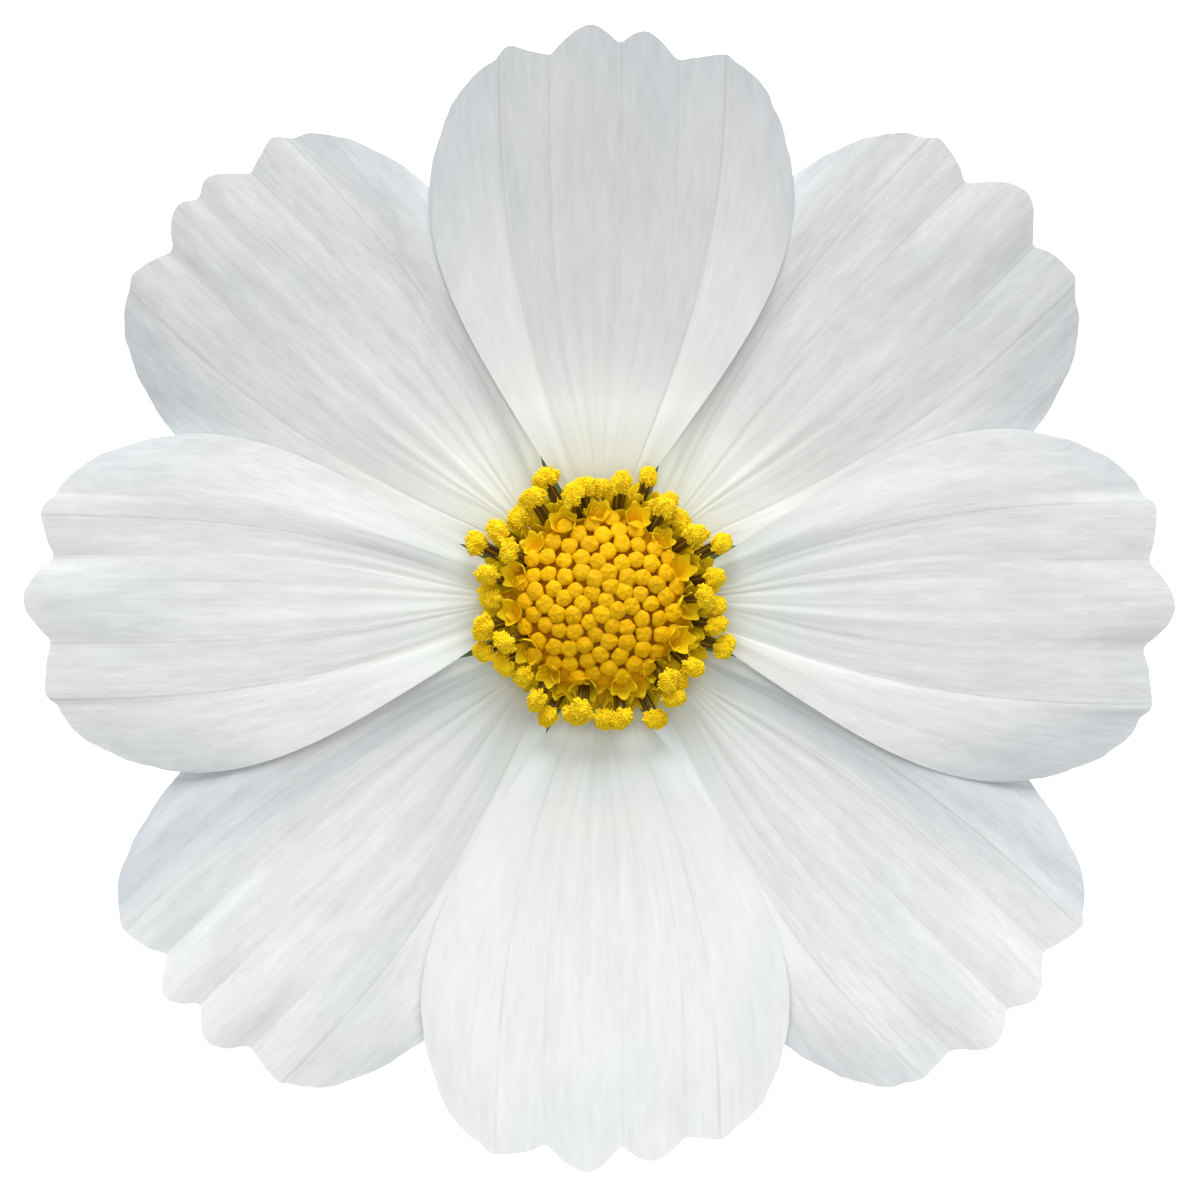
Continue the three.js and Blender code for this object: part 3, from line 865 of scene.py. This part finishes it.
def petalRelief(petal, seed, across, share):
    # folds, pleats, lines, and painted shade and light on the panel, the tips, wings and roots, as numbers at
    # each point
    form = petalForm
    fan = fanned(across, share)
    lines = petalLines(petal, seed)
    place, clawDepth, tipDepth, darkness = lines[np.abs(fan[:, None] - lines[:, 0]).argmin(1)].T
    valley = np.clip(np.abs(fan - place) / form["pleatWidth"], 0, 1)
    right, left = petal["creases"]
    inside = np.minimum(fan - right, left - fan)
    side = np.where(across < 0, 0, 1)
    # painted shade beside each crease, fading away from it
    beside = np.array(petal["creaseSidePaintedShade"])[side] * np.exp(-np.abs(inside) / form["shadeWidth"])
    # painted shade on the wings outside the creases and towards the tips
    outside = ramp(inside, 0, -form["wingBlend"]) * np.array(petal["wingPaintedShade"])[side]
    dim = petal["tipPaintedShade"] * ramp(share, *form["tipReach"]) + outside * ramp(share, *form["wingReach"])
    # painted shade near the claw, or painted light where the root numbers are negative
    soft = form["rootBlend"]
    rootRight, rootMiddle, rootLeft = petal["rootPaintedShadeAndLight"]
    dims = (rootRight, rootMiddle, rootMiddle, rootLeft)
    root = np.interp(fan, (right - soft, right + soft, left - soft, left + soft), dims)
    folds = np.array(petal["folds"], float).T
    soft = form["foldRounding"]
    fold = (np.interp(fan - soft, *folds) + 2 * np.interp(fan, *folds) + np.interp(fan + soft, *folds)) / 4
    return {
        "fan": fan,
        "fold": fold,
        "pleat": -clawDepth * (1 + np.cos(math.pi * valley)) / 2,
        "away": fan - place,
        "lineStrength": (clawDepth * (1 - share) + tipDepth * share) * darkness,
        # painted shade: a darker panel between the creases, and darker sides of the creases
        "grey": ramp(inside, 0, form["shadeEdge"]) * petal["grey"] + beside,
        "dim": dim + root * ramp(share, *form["rootReach"]),
    }


def petalSheet(petal, name, seed):
    # both faces of the blade, still flat, with what the tree needs to know at each point
    form = petalForm
    across, along = petalMargin(petal)
    rows = form["rows"]
    side = np.where(across < 0, 0, 1)
    edge = np.array(petal["halfWidths"])[side]
    (rightAcross, rightAlong), (leftAcross, leftAlong) = petal["teeth"][0], petal["teeth"][-1]
    shoulderAcross = np.abs(np.array([rightAcross, leftAcross], float))[side]
    shoulderAlong = np.interp(across, (rightAcross, leftAcross), (rightAlong, leftAlong))
    wing = np.clip((np.abs(across) - shoulderAcross) / (edge - shoulderAcross), 0, 1)
    perColumn = {
        "acrossMargin": across,
        "alongMargin": along,
        "edge": edge,
        "wing": wing,
        "lobe": np.where(wing > 0, 0, np.maximum(0, (along - shoulderAlong) / form["lobeReach"])),
        "lift": wing * np.array(petal["lifts"])[side],
        "drop": np.interp(across, (-form["dropBlend"], form["dropBlend"]), petal["drops"]) * wing,
    }
    numbers = {label: np.tile(values, 2 * (rows + 1)) for label, values in perColumn.items()}
    numbers["share"] = np.tile(np.repeat(np.linspace(0, 1, rows + 1), len(across)), 2)
    numbers["face"] = np.repeat([0.0, 1.0], (rows + 1) * len(across))
    for label, value in (("petalSeed", seed), ("petalTone", petal["tone"]), ("mottle", petal["mottle"])):
        numbers[label] = np.full(len(numbers["face"]), value)
    numbers.update(petalRelief(petal, round(seed), numbers["acrossMargin"], numbers["share"]))
    points = np.stack([numbers["alongMargin"], numbers["acrossMargin"], numbers["face"]], 1)
    return meshPiece(name, points, bladeFaces(rows, len(across) - 1), numbers)


def petalTree():
    form = petalForm
    sizes = ["Shelf", "Rise", "Wing Drop", "Fold Depth", "Direction"]
    tree = GrowTree("petalBlade", {label: "Float" for label in sizes})
    share = tree.number("share")
    part = tree.number("acrossMargin") / tree.number("edge")
    wing = tree.number("wing")
    along = tree.blend(share, form["clawRadius"], tree.number("alongMargin"))
    fill = tree.math("SINE", share ** form["fillExponent"] * (math.pi / 2))
    halfWidth = tree.blend(fill, form["clawHalfWidth"], tree.number("edge"))
    halfWidth = halfWidth - form["clawWaist"] * (1 - tree.smooth(share, *form["waistReach"]))
    inward = 1 - share
    bunching = inward * inward * form["creaseBunching"]
    across = halfWidth * (part * (1 + bunching) / (1 + bunching * tree.math("ABSOLUTE", part)))
    # height of the underside of a blade as thick as the solid's
    shelfAlong = form["shelfAlong"]
    outer = tree.math("MAXIMUM", (along - shelfAlong) / (form["tipAlong"] - shelfAlong), 0.0)
    inner = tree.math("MAXIMUM", (shelfAlong - along) / (shelfAlong - form["clawRadius"]), 0.0)
    shelf = tree.input("Shelf")
    height = shelf + tree.input("Rise") * outer ** form["riseExponent"]
    height = height - (shelf - form["seatTop"]) * inner * inner
    lift = tree.math("MINIMUM", share / form["liftEnd"], 1.0) ** form["liftExponent"]
    lift = tree.math("SINE", lift * math.pi) * tree.smooth(along, form["liftStart"], form["liftWhole"])
    nearTip = tree.smooth(share, *form["dropReach"])
    drop = wing * tree.input("Wing Drop") + tree.number("drop") * nearTip
    height = height + tree.number("lift") * lift - drop * share * share
    height = height + tree.number("lobe") * nearTip * form["lobeRelief"]
    # the finer form: folds, pleats, and a thin blade in the middle of that thickness
    depth = tree.blend(tree.smooth(share, *form["foldFade"]), 1.0, form["foldAtTip"])
    depth = depth * tree.smooth(share, *form["foldReach"])
    height = height + tree.number("fold") * depth * tree.input("Fold Depth")
    depth = tree.between(share, form["pleatReach"]) * form["pleatDepth"]
    height = height + tree.number("pleat") * depth * tree.input("Fold Depth")
    margin = tree.math(
        "MAXIMUM", tree.smooth(wing, *form["wingMargin"]), tree.smooth(share, *form["tipMargin"])
    )
    thickness = tree.blend(margin, form["thickness"], form["marginThickness"])
    height = height + form["solidThickness"] / 2 + (tree.number("face") - 0.5) * thickness
    inputs = {"Vector": tree.vector(along * mm, across * mm, height * mm), "Angle": tree.input("Direction")}
    place = tree.add("ShaderNodeVectorRotate", {"rotation_type": "Z_AXIS"}, inputs)
    inputs = {"Geometry": tree.input("Geometry"), "Position": place}
    return tree.finish(tree.add("GeometryNodeSetPosition", None, inputs))


def makePetals():
    form = petalForm
    tree = petalTree()
    finish = petalMaterial()
    for index, petal in enumerate(petals):
        layer, number = petal["layer"], str(petal["number"])
        values = {
            **form["layers"][layer],
            "Fold Depth": form["foldDepth"],
            "Direction": math.radians(petal["direction"]),
            "Finish": finish,
        }
        name = "petal" + layer.capitalize() + number
        piece = grow(petalSheet(petal, name, form["seedStep"] * index), tree, values)
        piece.data.set_sharp_from_angle(angle=math.radians(form["crispEdge"]))  # the cut margin
        dress(piece, "petal", "petal_" + layer + "_" + number)


# The disc's repeats. Both trees plant a shape on points, lean it outwards and turn it about itself.
def plantTree(name, sizes, layOut):
    shared = ["Lean Jitter", "Size Jitter", "Place Jitter", "Lumps", "Lump Size"]
    inputs = {"Shape": "Object", "Count": "Int", "Seed": "Int"}
    inputs.update({label: "Float" for label in shared + sizes})
    tree = GrowTree(name, inputs)

    def chance(number, low=-1.0, high=1.0):  # a row of its own for each number
        return tree.random(low, high, tree.input("Seed") + number)

    index = tree.add("GeometryNodeInputIndex")
    radius, azimuth, height, lean, stretch = layOut(tree, index)
    astray = tree.input("Place Jitter")
    radius = radius + chance(6) * astray
    azimuth = azimuth + chance(7) * astray / radius
    right = radius * tree.math("COSINE", azimuth) * mm
    back = radius * tree.math("SINE", azimuth) * mm
    inputs = {"Count": tree.input("Count"), "Position": tree.vector(right, back, height * mm)}
    points = tree.add("GeometryNodePoints", None, inputs)
    settings = {"data_type": "FLOAT", "domain": "POINT"}
    inputs = {"Geometry": points, "Name": "tone", "Value": chance(1, 0.0)}
    points = tree.add("GeometryNodeStoreNamedAttribute", settings, inputs)
    lean = lean + chance(2) * tree.input("Lean Jitter")
    sway = chance(3) * tree.input("Lean Jitter")
    spin = tree.turnedAbout(chance(4, 0.0, 2 * math.pi))
    outwards = tree.add("FunctionNodeEulerToRotation", None, {"Euler": tree.vector(sway, lean, azimuth)})
    inputs = {"Rotation": outwards, "Rotate By": spin}
    rotation = tree.add("FunctionNodeRotateRotation", {"rotation_space": "LOCAL"}, inputs)
    size = 1 + chance(5) * tree.input("Size Jitter")
    scale = tree.vector(size, size, size * stretch)
    planted = tree.copies({"Points": points, "Rotation": rotation, "Scale": scale})
    # each copy gets dents of its own
    whole = tree.add("GeometryNodeRealizeInstances", None, {"Geometry": planted})
    place = tree.add("GeometryNodeInputPosition")
    dents = tree.noise(place, 1 / (tree.input("Lump Size") * mm), 1.0) - 0.5
    inputs = {0: tree.add("GeometryNodeInputNormal"), "Scale": dents * tree.input("Lumps") * (2 * mm)}
    offset = tree.add("ShaderNodeVectorMath", {"operation": "SCALE"}, inputs)
    return tree.finish(tree.add("GeometryNodeSetPosition", None, {"Geometry": whole, "Offset": offset}))


discForm = {
    "budSpacing": 0.55,
    "domeRadius": 6.3,
    "domeRim": 7.5,
    "domeTop": 10.9,
    "budLean": 50.0,
    "budLeanExponent": 1.6,
    "budJitter": {"Lean Jitter": 0.08, "Size Jitter": 0.07, "Lumps": 0.14, "Lump Size": 0.5},
    # name, first place on the spiral, count, place jitter, seed, node
    "buds": [
        ("closedFlorets", 0, 80, 0.05, 3, "disc_buds"),
        ("lateFlorets", 80, 9, 0.16, 11, "disc_open_florets"),
    ],
    # name, count, radius, height, lean, turn, and what stands in the florets' cups
    "rings": [
        ("Cups", 15, 5.1, 8.8, 33, 20, ()),
        ("Inner", 7, 5.0, 8.4, 40, 0, ("antherTube", "pollen")),
        ("Middle", 16, 5.4, 8.05, 50, 11.25, ("antherTube", "pollen")),
        ("Outer", 8, 5.8, 7.7, 60, 22.5, ("antherTube", "pollen")),
        ("Under", 8, 4.8, 7.9, 58, 0, ("pollen",)),
        ("Fringe", 32, 5.95, 7.7, 60, 5.6, ()),
    ],
    "ringJitter": {"Lean Jitter": 0.12, "Size Jitter": 0.08, "Place Jitter": 0.15, "Lump Size": 0.7},
    "lumps": {"corolla": 0.13, "antherTube": 0.05, "pollen": 0.1},
    "firstSeed": 21,
    "seedStep": 10,
    "gapReach": 0.06,  # how much longer the florets over the petals' gaps are
}


def domeTree():
    def layOut(tree, index):
        number = index + tree.input("First")
        radius = tree.input("Spacing") * tree.math("SQRT", number + 0.5)
        share = tree.math("MINIMUM", radius / tree.input("Dome Radius"), 1.0)
        rim = tree.input("Rim Height")
        height = rim + (tree.input("Top Height") - rim) * tree.math("SQRT", 1 - share * share)
        lean = tree.input("Lean") * share ** discForm["budLeanExponent"]
        return radius, number * goldenAngle, height, lean, 1.0

    sizes = ["First", "Spacing", "Dome Radius", "Rim Height", "Top Height", "Lean"]
    return plantTree("spiralOnDome", sizes, layOut)


def ringTree():
    def layOut(tree, index):
        azimuth = tree.input("Turn") + index / tree.input("Count") * (2 * math.pi)
        overGap = (1 - tree.math("COSINE", azimuth * len(petals))) / 2
        stretch = 1 + overGap * tree.input("Gap Reach")
        return tree.input("Radius"), azimuth, tree.input("Height"), tree.input("Lean"), stretch

    return plantTree("ringOnCollar", ["Radius", "Height", "Lean", "Turn", "Gap Reach"], layOut)


budForm = {
    # rise from root to tip, and width
    "profile": [(0.0, 0.34), (0.35, 0.42), (0.55, 0.62), (0.68, 0.86), (0.78, 0.99), (0.86, 1.0),
                (0.92, 0.88), (0.965, 0.66), (0.99, 0.4), (1.0, 0.16)],
    "radius": 0.58,
    "root": 0.9,
    "proud": 0.84,
    "sides": 20,
    "lobing": 0.04,
    "lobingRise": 1.3,
    "seamStart": 0.8,
    "seamDepth": 0.035,
    "nipple": 0.05,
}


def ribs(angles):  # 1 on each of a floret's ribs, 0 between them
    return np.abs(np.cos(lobes / 2 * angles))


def budShape():
    form = budForm
    angles = around(form["sides"])
    length = form["root"] + form["proud"]
    rings = []
    for rise, width in form["profile"]:
        lobing = form["lobing"] * np.cos(lobes * angles) * min(1, rise * form["lobingRise"])
        seam = (1 - ribs(angles)) ** 2 * max(0, rise - form["seamStart"]) / (1 - form["seamStart"])
        height = -form["root"] + length * rise - form["seamDepth"] * seam
        rings.append((form["radius"] * width * (1 + lobing), height))
    points, faces = turnedSkin(rings, form["sides"])
    points[-1, 2] += form["nipple"]
    return meshPiece("budShape", points, faces, {"rise": (points[:, 2] + form["root"]) / length})


corollaForm = {
    "throatRadius": 0.18,
    "throatHeight": 0.2,
    "rootRadius": 0.28,
    "rootDepth": 0.9,
    "bell": [(0.34, 0.0), (0.62, 0.9), (0.92, 1.7)],
    "notchLength": 1.42,
    "lobeLength": 1.95,
    "lobeSharpness": 1.7,
    "sides": 40,
    "rows": 9,
    "wall": 0.07,
    "wallThinning": 0.7,
}


def corollaShape():
    form = corollaForm
    (r0, z0), (r1, z1), (r2, z2) = form["bell"]
    lobe = ribs(around(form["sides"])) ** form["lobeSharpness"]
    length = form["notchLength"] + (form["lobeLength"] - form["notchLength"]) * lobe
    outer, inner = [], []
    for row in range(form["rows"] + 1):
        share = row / form["rows"]
        t = share * length / form["lobeLength"]
        radius, height = bent(form["bell"], t)
        outwards = 2 * (1 - t) * (r1 - r0) + 2 * t * (r2 - r1)
        upwards = 2 * (1 - t) * (z1 - z0) + 2 * t * (z2 - z1)
        half = form["wall"] * (1 - form["wallThinning"] * share) / 2 / np.hypot(outwards, upwards)
        outer.append((radius + upwards * half, height - outwards * half, share))
        inner.append((radius - upwards * half, height + outwards * half, share))
    foot = (form["rootRadius"], -form["rootDepth"], 0.0)
    throat = (form["throatRadius"], form["throatHeight"], 0.0)
    rings = [foot] + outer + inner[::-1] + [throat]
    points, faces = turnedSkin([ring[:2] for ring in rings], form["sides"])
    rise = np.concatenate([np.full(form["sides"], ring[2]) for ring in rings] + [[0, 0]])
    return meshPiece("corollaShape", points, faces, {"rise": rise})


antherForm = {
    # share of the length, width
    "profile": [(0, 0.8), (0.15, 0.93), (0.4, 1.0), (0.7, 1.02), (0.88, 1.04), (1, 1.1), (1, 0.9),
                (0.85, 0.7)],
    "radius": 0.38,
    "groove": 0.22,
    "grooveSharpness": 0.6,
    "start": 0.6,
    "end": 2.7,
    "tip": 0.3,
    "tipStart": 0.8,
    "tipSharpness": 1.5,
    "sides": 40,
}


def antherShape():
    form = antherForm
    rib = ribs(around(form["sides"]))
    rings = []
    for share, girth in form["profile"]:
        radius = form["radius"] * girth * (1 - form["groove"] * (1 - rib ** form["grooveSharpness"]))
        tip = max(0.0, share - form["tipStart"]) / (1 - form["tipStart"])
        tip = form["tip"] * rib ** form["tipSharpness"] * tip
        rings.append((radius, form["start"] + (form["end"] - form["start"]) * share + tip))
    points, faces = turnedSkin(rings, form["sides"])
    seam = 1 - ribs(np.arctan2(points[:, 1], points[:, 0]))
    return meshPiece("antherShape", points, faces, {"seam": seam})


pollenForm = {
    "start": 2.55,
    "length": 1.05,
    "radius": 0.54,
    "widths": (1.4, 0.95),
    "grains": 250,
    "grainRadius": 0.09,
    "grainLength": 1.6,
    "grainSizes": (0.7, 1.3),
    "grainReach": (0.9, 1.12),
    "tufts": 6,
    "tuftDepth": 0.3,
    "tuftTaper": 0.6,
    "coreReach": 0.97,
    "coreRings": (0.1, 0.22, 0.36, 0.5, 0.64, 0.78, 0.9),
    "coreSides": 24,
    "seed": 5,
}


def pollenShape():
    # a blob of short tufts, covered with grains that stand out
    form = pollenForm
    rng = np.random.default_rng(form["seed"])
    # a grain has twenty faces: a point at each end and two rings of five between them
    grain = [(0, 0, 1), (0.89, 0, 0.45), (0.28, 0.85, 0.45), (-0.72, 0.53, 0.45), (-0.72, -0.53, 0.45),
             (0.28, -0.85, 0.45), (0.72, 0.53, -0.45), (-0.28, 0.85, -0.45), (-0.89, 0, -0.45),
             (-0.28, -0.85, -0.45), (0.72, -0.53, -0.45), (0, 0, -1)]
    grainFaces = []
    for k in range(5):
        a, b = 1 + k, 1 + (k + 1) % 5
        grainFaces += [(0, a, b), (a, a + 5, b), (a + 5, b + 5, b), (a + 5, 11, b + 5)]

    def surface(turn, z):  # how far out the blob reaches in a direction
        tuft = 0.5 * np.cos(form["tufts"] * turn)
        return form["radius"] * (1 + form["tuftDepth"] * tuft * (1 - form["tuftTaper"] * z))

    middle = form["start"] + form["length"] / 2
    points, faces = [], []
    for i in range(form["grains"]):
        z = 1 - 2 * (i + 0.5) / form["grains"]
        turn = goldenAngle * i
        flat = math.sqrt(1 - z * z)
        direction = np.array([flat * math.cos(turn), flat * math.sin(turn), z])
        reach = surface(turn, z) * rng.uniform(*form["grainReach"])
        centre = direction * reach * np.array([*form["widths"], form["length"] / form["radius"] / 2])
        centre[2] += middle
        size = form["grainRadius"] * rng.uniform(*form["grainSizes"])
        faces += [tuple(len(points) + k for k in face) for face in grainFaces]
        for corner in np.array(grain):
            along = corner @ direction
            points.append(centre + size * (corner + (form["grainLength"] - 1) * along * direction))
    rings = []
    for tilt in np.array(form["coreRings"]) * math.pi:
        reach = surface(around(form["coreSides"]), -math.cos(tilt)) * form["coreReach"]
        rings.append((reach * math.sin(tilt), middle - form["length"] / 2 * math.cos(tilt)))
    corePoints, coreFaces = turnedSkin(rings, form["coreSides"])
    corePoints[:, :2] *= form["widths"]
    faces += [tuple(len(points) + k for k in face) for face in coreFaces]
    return meshPiece("pollenShape", points + list(corePoints), faces)


bedForm = {
    "collar": [(2.4, 5.25), (3.9, 5.25), (4.35, 7.0), (6.1, 7.1), (6.6, 7.2), (6.5, 7.5), (6.2, 7.7)],
    "domeShare": 0.94,
    "domeLift": 0.1,
    "domeTurns": (0.2, 1.5),
    "domeRings": 16,
    "sides": 64,
    "tipReach": (4.2, 5.2),
    "underReach": (7.45, 7.15),
}


def bedShape():
    # the scaly bed that shows between the closed florets, and the collar that the open ones grow from
    form = bedForm
    radius = discForm["domeRadius"] * form["domeShare"]
    rim = discForm["domeRim"]
    profile = list(form["collar"])
    for t in np.linspace(*form["domeTurns"], form["domeRings"]):
        height = rim + (discForm["domeTop"] - rim) * math.sin(t) + form["domeLift"]
        profile.append((radius * math.cos(t), height))
    points, faces = turnedSkin(profile, form["sides"])
    numbers = {
        "rise": ramp(np.hypot(points[:, 0], points[:, 1]), *form["tipReach"]),
        "under": ramp(points[:, 2], *form["underReach"]),
    }
    return meshPiece("discBed", points, faces, numbers)


def makeDisc():
    form = discForm
    dress(smoothPiece(bedShape(), bedMaterial()), "anther")
    spiral = domeTree()
    shape = hidden(budShape())
    values = {
        "Shape": shape,
        "Spacing": form["budSpacing"],
        "Dome Radius": form["domeRadius"],
        "Rim Height": form["domeRim"],
        "Top Height": form["domeTop"],
        "Lean": math.radians(form["budLean"]),
        **form["budJitter"],
        "Finish": budMaterial(),
    }
    for name, first, count, astray, seed, node in form["buds"]:
        values.update({"First": float(first), "Count": count, "Place Jitter": astray, "Seed": seed})
        dress(grow(emptyPiece(name), spiral, values), "bud", node)
    bpy.data.objects.remove(shape)
    ring = ringTree()
    for label, makeShape, finish, slot in (
        ("corolla", corollaShape, floretMaterial(), "floret"),
        ("antherTube", antherShape, antherMaterial(), "anther"),
        ("pollen", pollenShape, pollenMaterial(), "floret"),
    ):
        shape = hidden(makeShape())
        for index, (name, count, radius, height, lean, turn, parts) in enumerate(form["rings"]):
            if label != "corolla" and label not in parts:
                continue
            values = {
                "Shape": shape,
                "Count": count,
                "Radius": radius,
                "Height": height,
                "Lean": math.radians(lean),
                "Turn": math.radians(turn),
                "Gap Reach": form["gapReach"],
                **form["ringJitter"],
                "Lumps": form["lumps"][label],
                "Seed": form["firstSeed"] + form["seedStep"] * index,
                "Finish": finish,
            }
            dress(grow(emptyPiece(label + name), ring, values), slot, "disc_open_florets")
        bpy.data.objects.remove(shape)


# Bracts: one blade, bent along a curve in the plane of the axis and repeated round it.
bractForm = {
    "count": 8,
    "rows": 24,
    "columns": 12,
    "thickness": 0.3,
    "edgeThinning": 0.6,
    "solidThickness": 0.6,
    "ridge": 0.06,
    "ridges": 3,
    "least": 0.12,
    "foot": 0.22,
    "exponent": 0.85,
    "pointStart": 0.8,
    "pointing": 0.85,
    "keelExponent": 1.5,
    "clearance": 0.001,  # keeps the tips' undersides just above the ground
    "outer": {
        "line": [(2.95, 1.05), (6.8, 2.6), (10.8, -1.7)],
        "halfWidth": 1.15,
        "keel": 0.15,
        "turn": 22.5,
    },
    "inner": {"line": [(4.9, 3.1), (6.6, 3.4), (10, 4.55)], "halfWidth": 2.1, "keel": 0.3, "turn": 0},
}


def bractShape(name, bract):
    form = bractForm
    points, across, share = [], [], []
    for face in (-0.5, 0.5):
        for row in range(form["rows"] + 1):
            s = row / form["rows"]
            radius, height = bent(bract["line"], s)
            wave = math.sin(math.pi * (form["foot"] + (1 - form["foot"]) * s ** form["exponent"]))
            half = bract["halfWidth"] * (form["least"] + (1 - form["least"]) * wave)
            point = max(0.0, (s - form["pointStart"]) / (1 - form["pointStart"]))
            half *= 1 - form["pointing"] * point ** 2
            for column in range(form["columns"] + 1):
                part = 2 * column / form["columns"] - 1
                under = max(0.0, height + bract["keel"] * abs(part) ** form["keelExponent"])
                thickness = form["thickness"] * (1 - form["edgeThinning"] * part * part)
                middle = under + form["solidThickness"] / 2
                if under > 0:
                    middle += form["ridge"] * math.cos(part * math.pi * form["ridges"]) * (1 - s)
                else:  # the tip lies on the ground
                    middle = min(thickness / 2 + form["clearance"], middle)
                points.append((radius, part * half, middle + face * thickness))
                across.append(part)
                share.append(s)
    faces = bladeFaces(form["rows"], form["columns"])
    return meshPiece(name, points, faces, {"across": across, "share": share})


def roundTree():
    tree = GrowTree("roundTheAxis", {"Shape": "Object", "Count": "Int", "Turn": "Float"})
    count = tree.input("Count")
    points = tree.add("GeometryNodePoints", None, {"Count": count})
    azimuth = tree.input("Turn") + tree.add("GeometryNodeInputIndex") / count * (2 * math.pi)
    return tree.finish(tree.copies({"Points": points, "Rotation": tree.turnedAbout(azimuth)}))


def makeBracts():
    tree = roundTree()
    count = bractForm["count"]
    for key, finish, slot in (
        ("outer", greenMaterial("bractGreen", "leaf"), "bract_green"),
        ("inner", greenMaterial("bractPale", "pale"), "bract_pale"),
    ):
        name = key + "Bracts"
        bract = bractForm[key]
        shape = hidden(bractShape(name + "Shape", bract))
        values = {"Shape": shape, "Count": count, "Turn": math.radians(bract["turn"]), "Finish": finish}
        nodes = ["bract_" + key + "_" + str(i + 1) for i in range(count)]
        dress(grow(emptyPiece(name), tree, values), slot, *nodes)
        bpy.data.objects.remove(shape)


# The cup with the cut end of the stalk.
cupForm = {
    "profile": [
        (0.5, 0.0), (1.1, 0.0), (1.2, 0.1), (1.24, 0.35), (1.3, 0.65), (1.7, 0.9), (2.25, 1.1),
        (2.4, 1.45), (2.5, 1.85), (3.0, 2.15), (3.6, 2.42), (4.1, 2.7), (4.4, 2.95), (4.57, 3.4),
        (4.6, 3.9), (4.5, 4.3), (4.35, 4.65), (4.0, 4.87), (3.0, 4.9), (1.5, 4.9),
    ],
    "ribs": 16,
    "ribDepth": 0.05,
    "sides": 96,
    "acrossPerRadian": 2.5,
    "height": 5,
}


def makeCup():
    form = cupForm
    relief = form["ribDepth"] * (np.cos(form["ribs"] * around(form["sides"])) - 1)
    rings = [(radius + relief * min(1, height), height) for radius, height in form["profile"]]
    points, faces = turnedSkin(rings, form["sides"])
    angles = np.arctan2(points[:, 1], points[:, 0])
    numbers = {"across": angles * form["acrossPerRadian"], "share": points[:, 2] / form["height"]}
    cup = meshPiece("flowerCup", points, faces, numbers)
    dress(smoothPiece(cup, greenMaterial("cupGreen", "leaf")), "cup", "receptacle")


# Camera straight above, floor, lights.
stageForm = {
    "frameWidth": 78.4,  # what the photo's 1200 pixels span at the petals' height
    "cameraHeight": 1200.0,
    "focusHeight": 9.0,
    "sensor": 36.0,
    "farthest": 10,  # in metres
    "floorHalf": 1500.0,
    "floorPaper": {
        "Base Color": rgb(0.9, 0.9, 0.9),
        "Roughness": 0.9,
        "Specular IOR Level": 0.1,
        "Emission Color": rgb(1, 1, 1),
        "Emission Strength": 0.55,
    },
    # lights: place, size, power
    "lights": {
        "keyLight": ((0.0, 574.0, 305.0), 640.0, 4.65),
        "fillLight": ((20.0, 0.0, 1500.0), 1100.0, 5.65),
    },
    "worldStrength": 0.317,
}


def makeStage():
    form = stageForm
    half = form["floorHalf"]
    corners = [(-half, -half, 0), (half, -half, 0), (half, half, 0), (-half, half, 0)]
    floor = meshPiece("floor", corners, [(0, 1, 2, 3)])
    scene.collection.objects.link(floor)
    floor.data.materials.append(newFinish("floorPaper", form["floorPaper"]).material)
    for name, (place, size, power) in form["lights"].items():
        light = bpy.data.lights.new(name, "AREA")
        light.shape = "DISK"
        light.size = size * mm
        light.energy = power
        lamp = bpy.data.objects.new(name, light)
        lamp.location = Vector(place) * mm
        lamp.rotation_euler = (-Vector(place)).to_track_quat("-Z", "Y").to_euler()
        scene.collection.objects.link(lamp)
    world = bpy.data.worlds.new("softSky")
    world.use_nodes = True
    sky = world.node_tree.nodes["Background"]
    sky.inputs["Color"].default_value = rgb(1, 1, 1)
    sky.inputs["Strength"].default_value = form["worldStrength"]
    scene.world = world
    camera = bpy.data.cameras.new("camera")
    camera.sensor_width = form["sensor"]
    camera.lens = form["sensor"] * (form["cameraHeight"] - form["focusHeight"]) / form["frameWidth"]
    camera.clip_end = form["farthest"]
    viewer = bpy.data.objects.new("camera", camera)
    viewer.location = (0, 0, form["cameraHeight"] * mm)
    scene.collection.objects.link(viewer)
    scene.camera = viewer
    scene.view_settings.view_transform = "Standard"


makeStage()
print("stage ready")
makePetals()
print("petals ready")
makeBracts()
makeCup()
print("cup and bracts ready")
makeDisc()
print("disc ready")
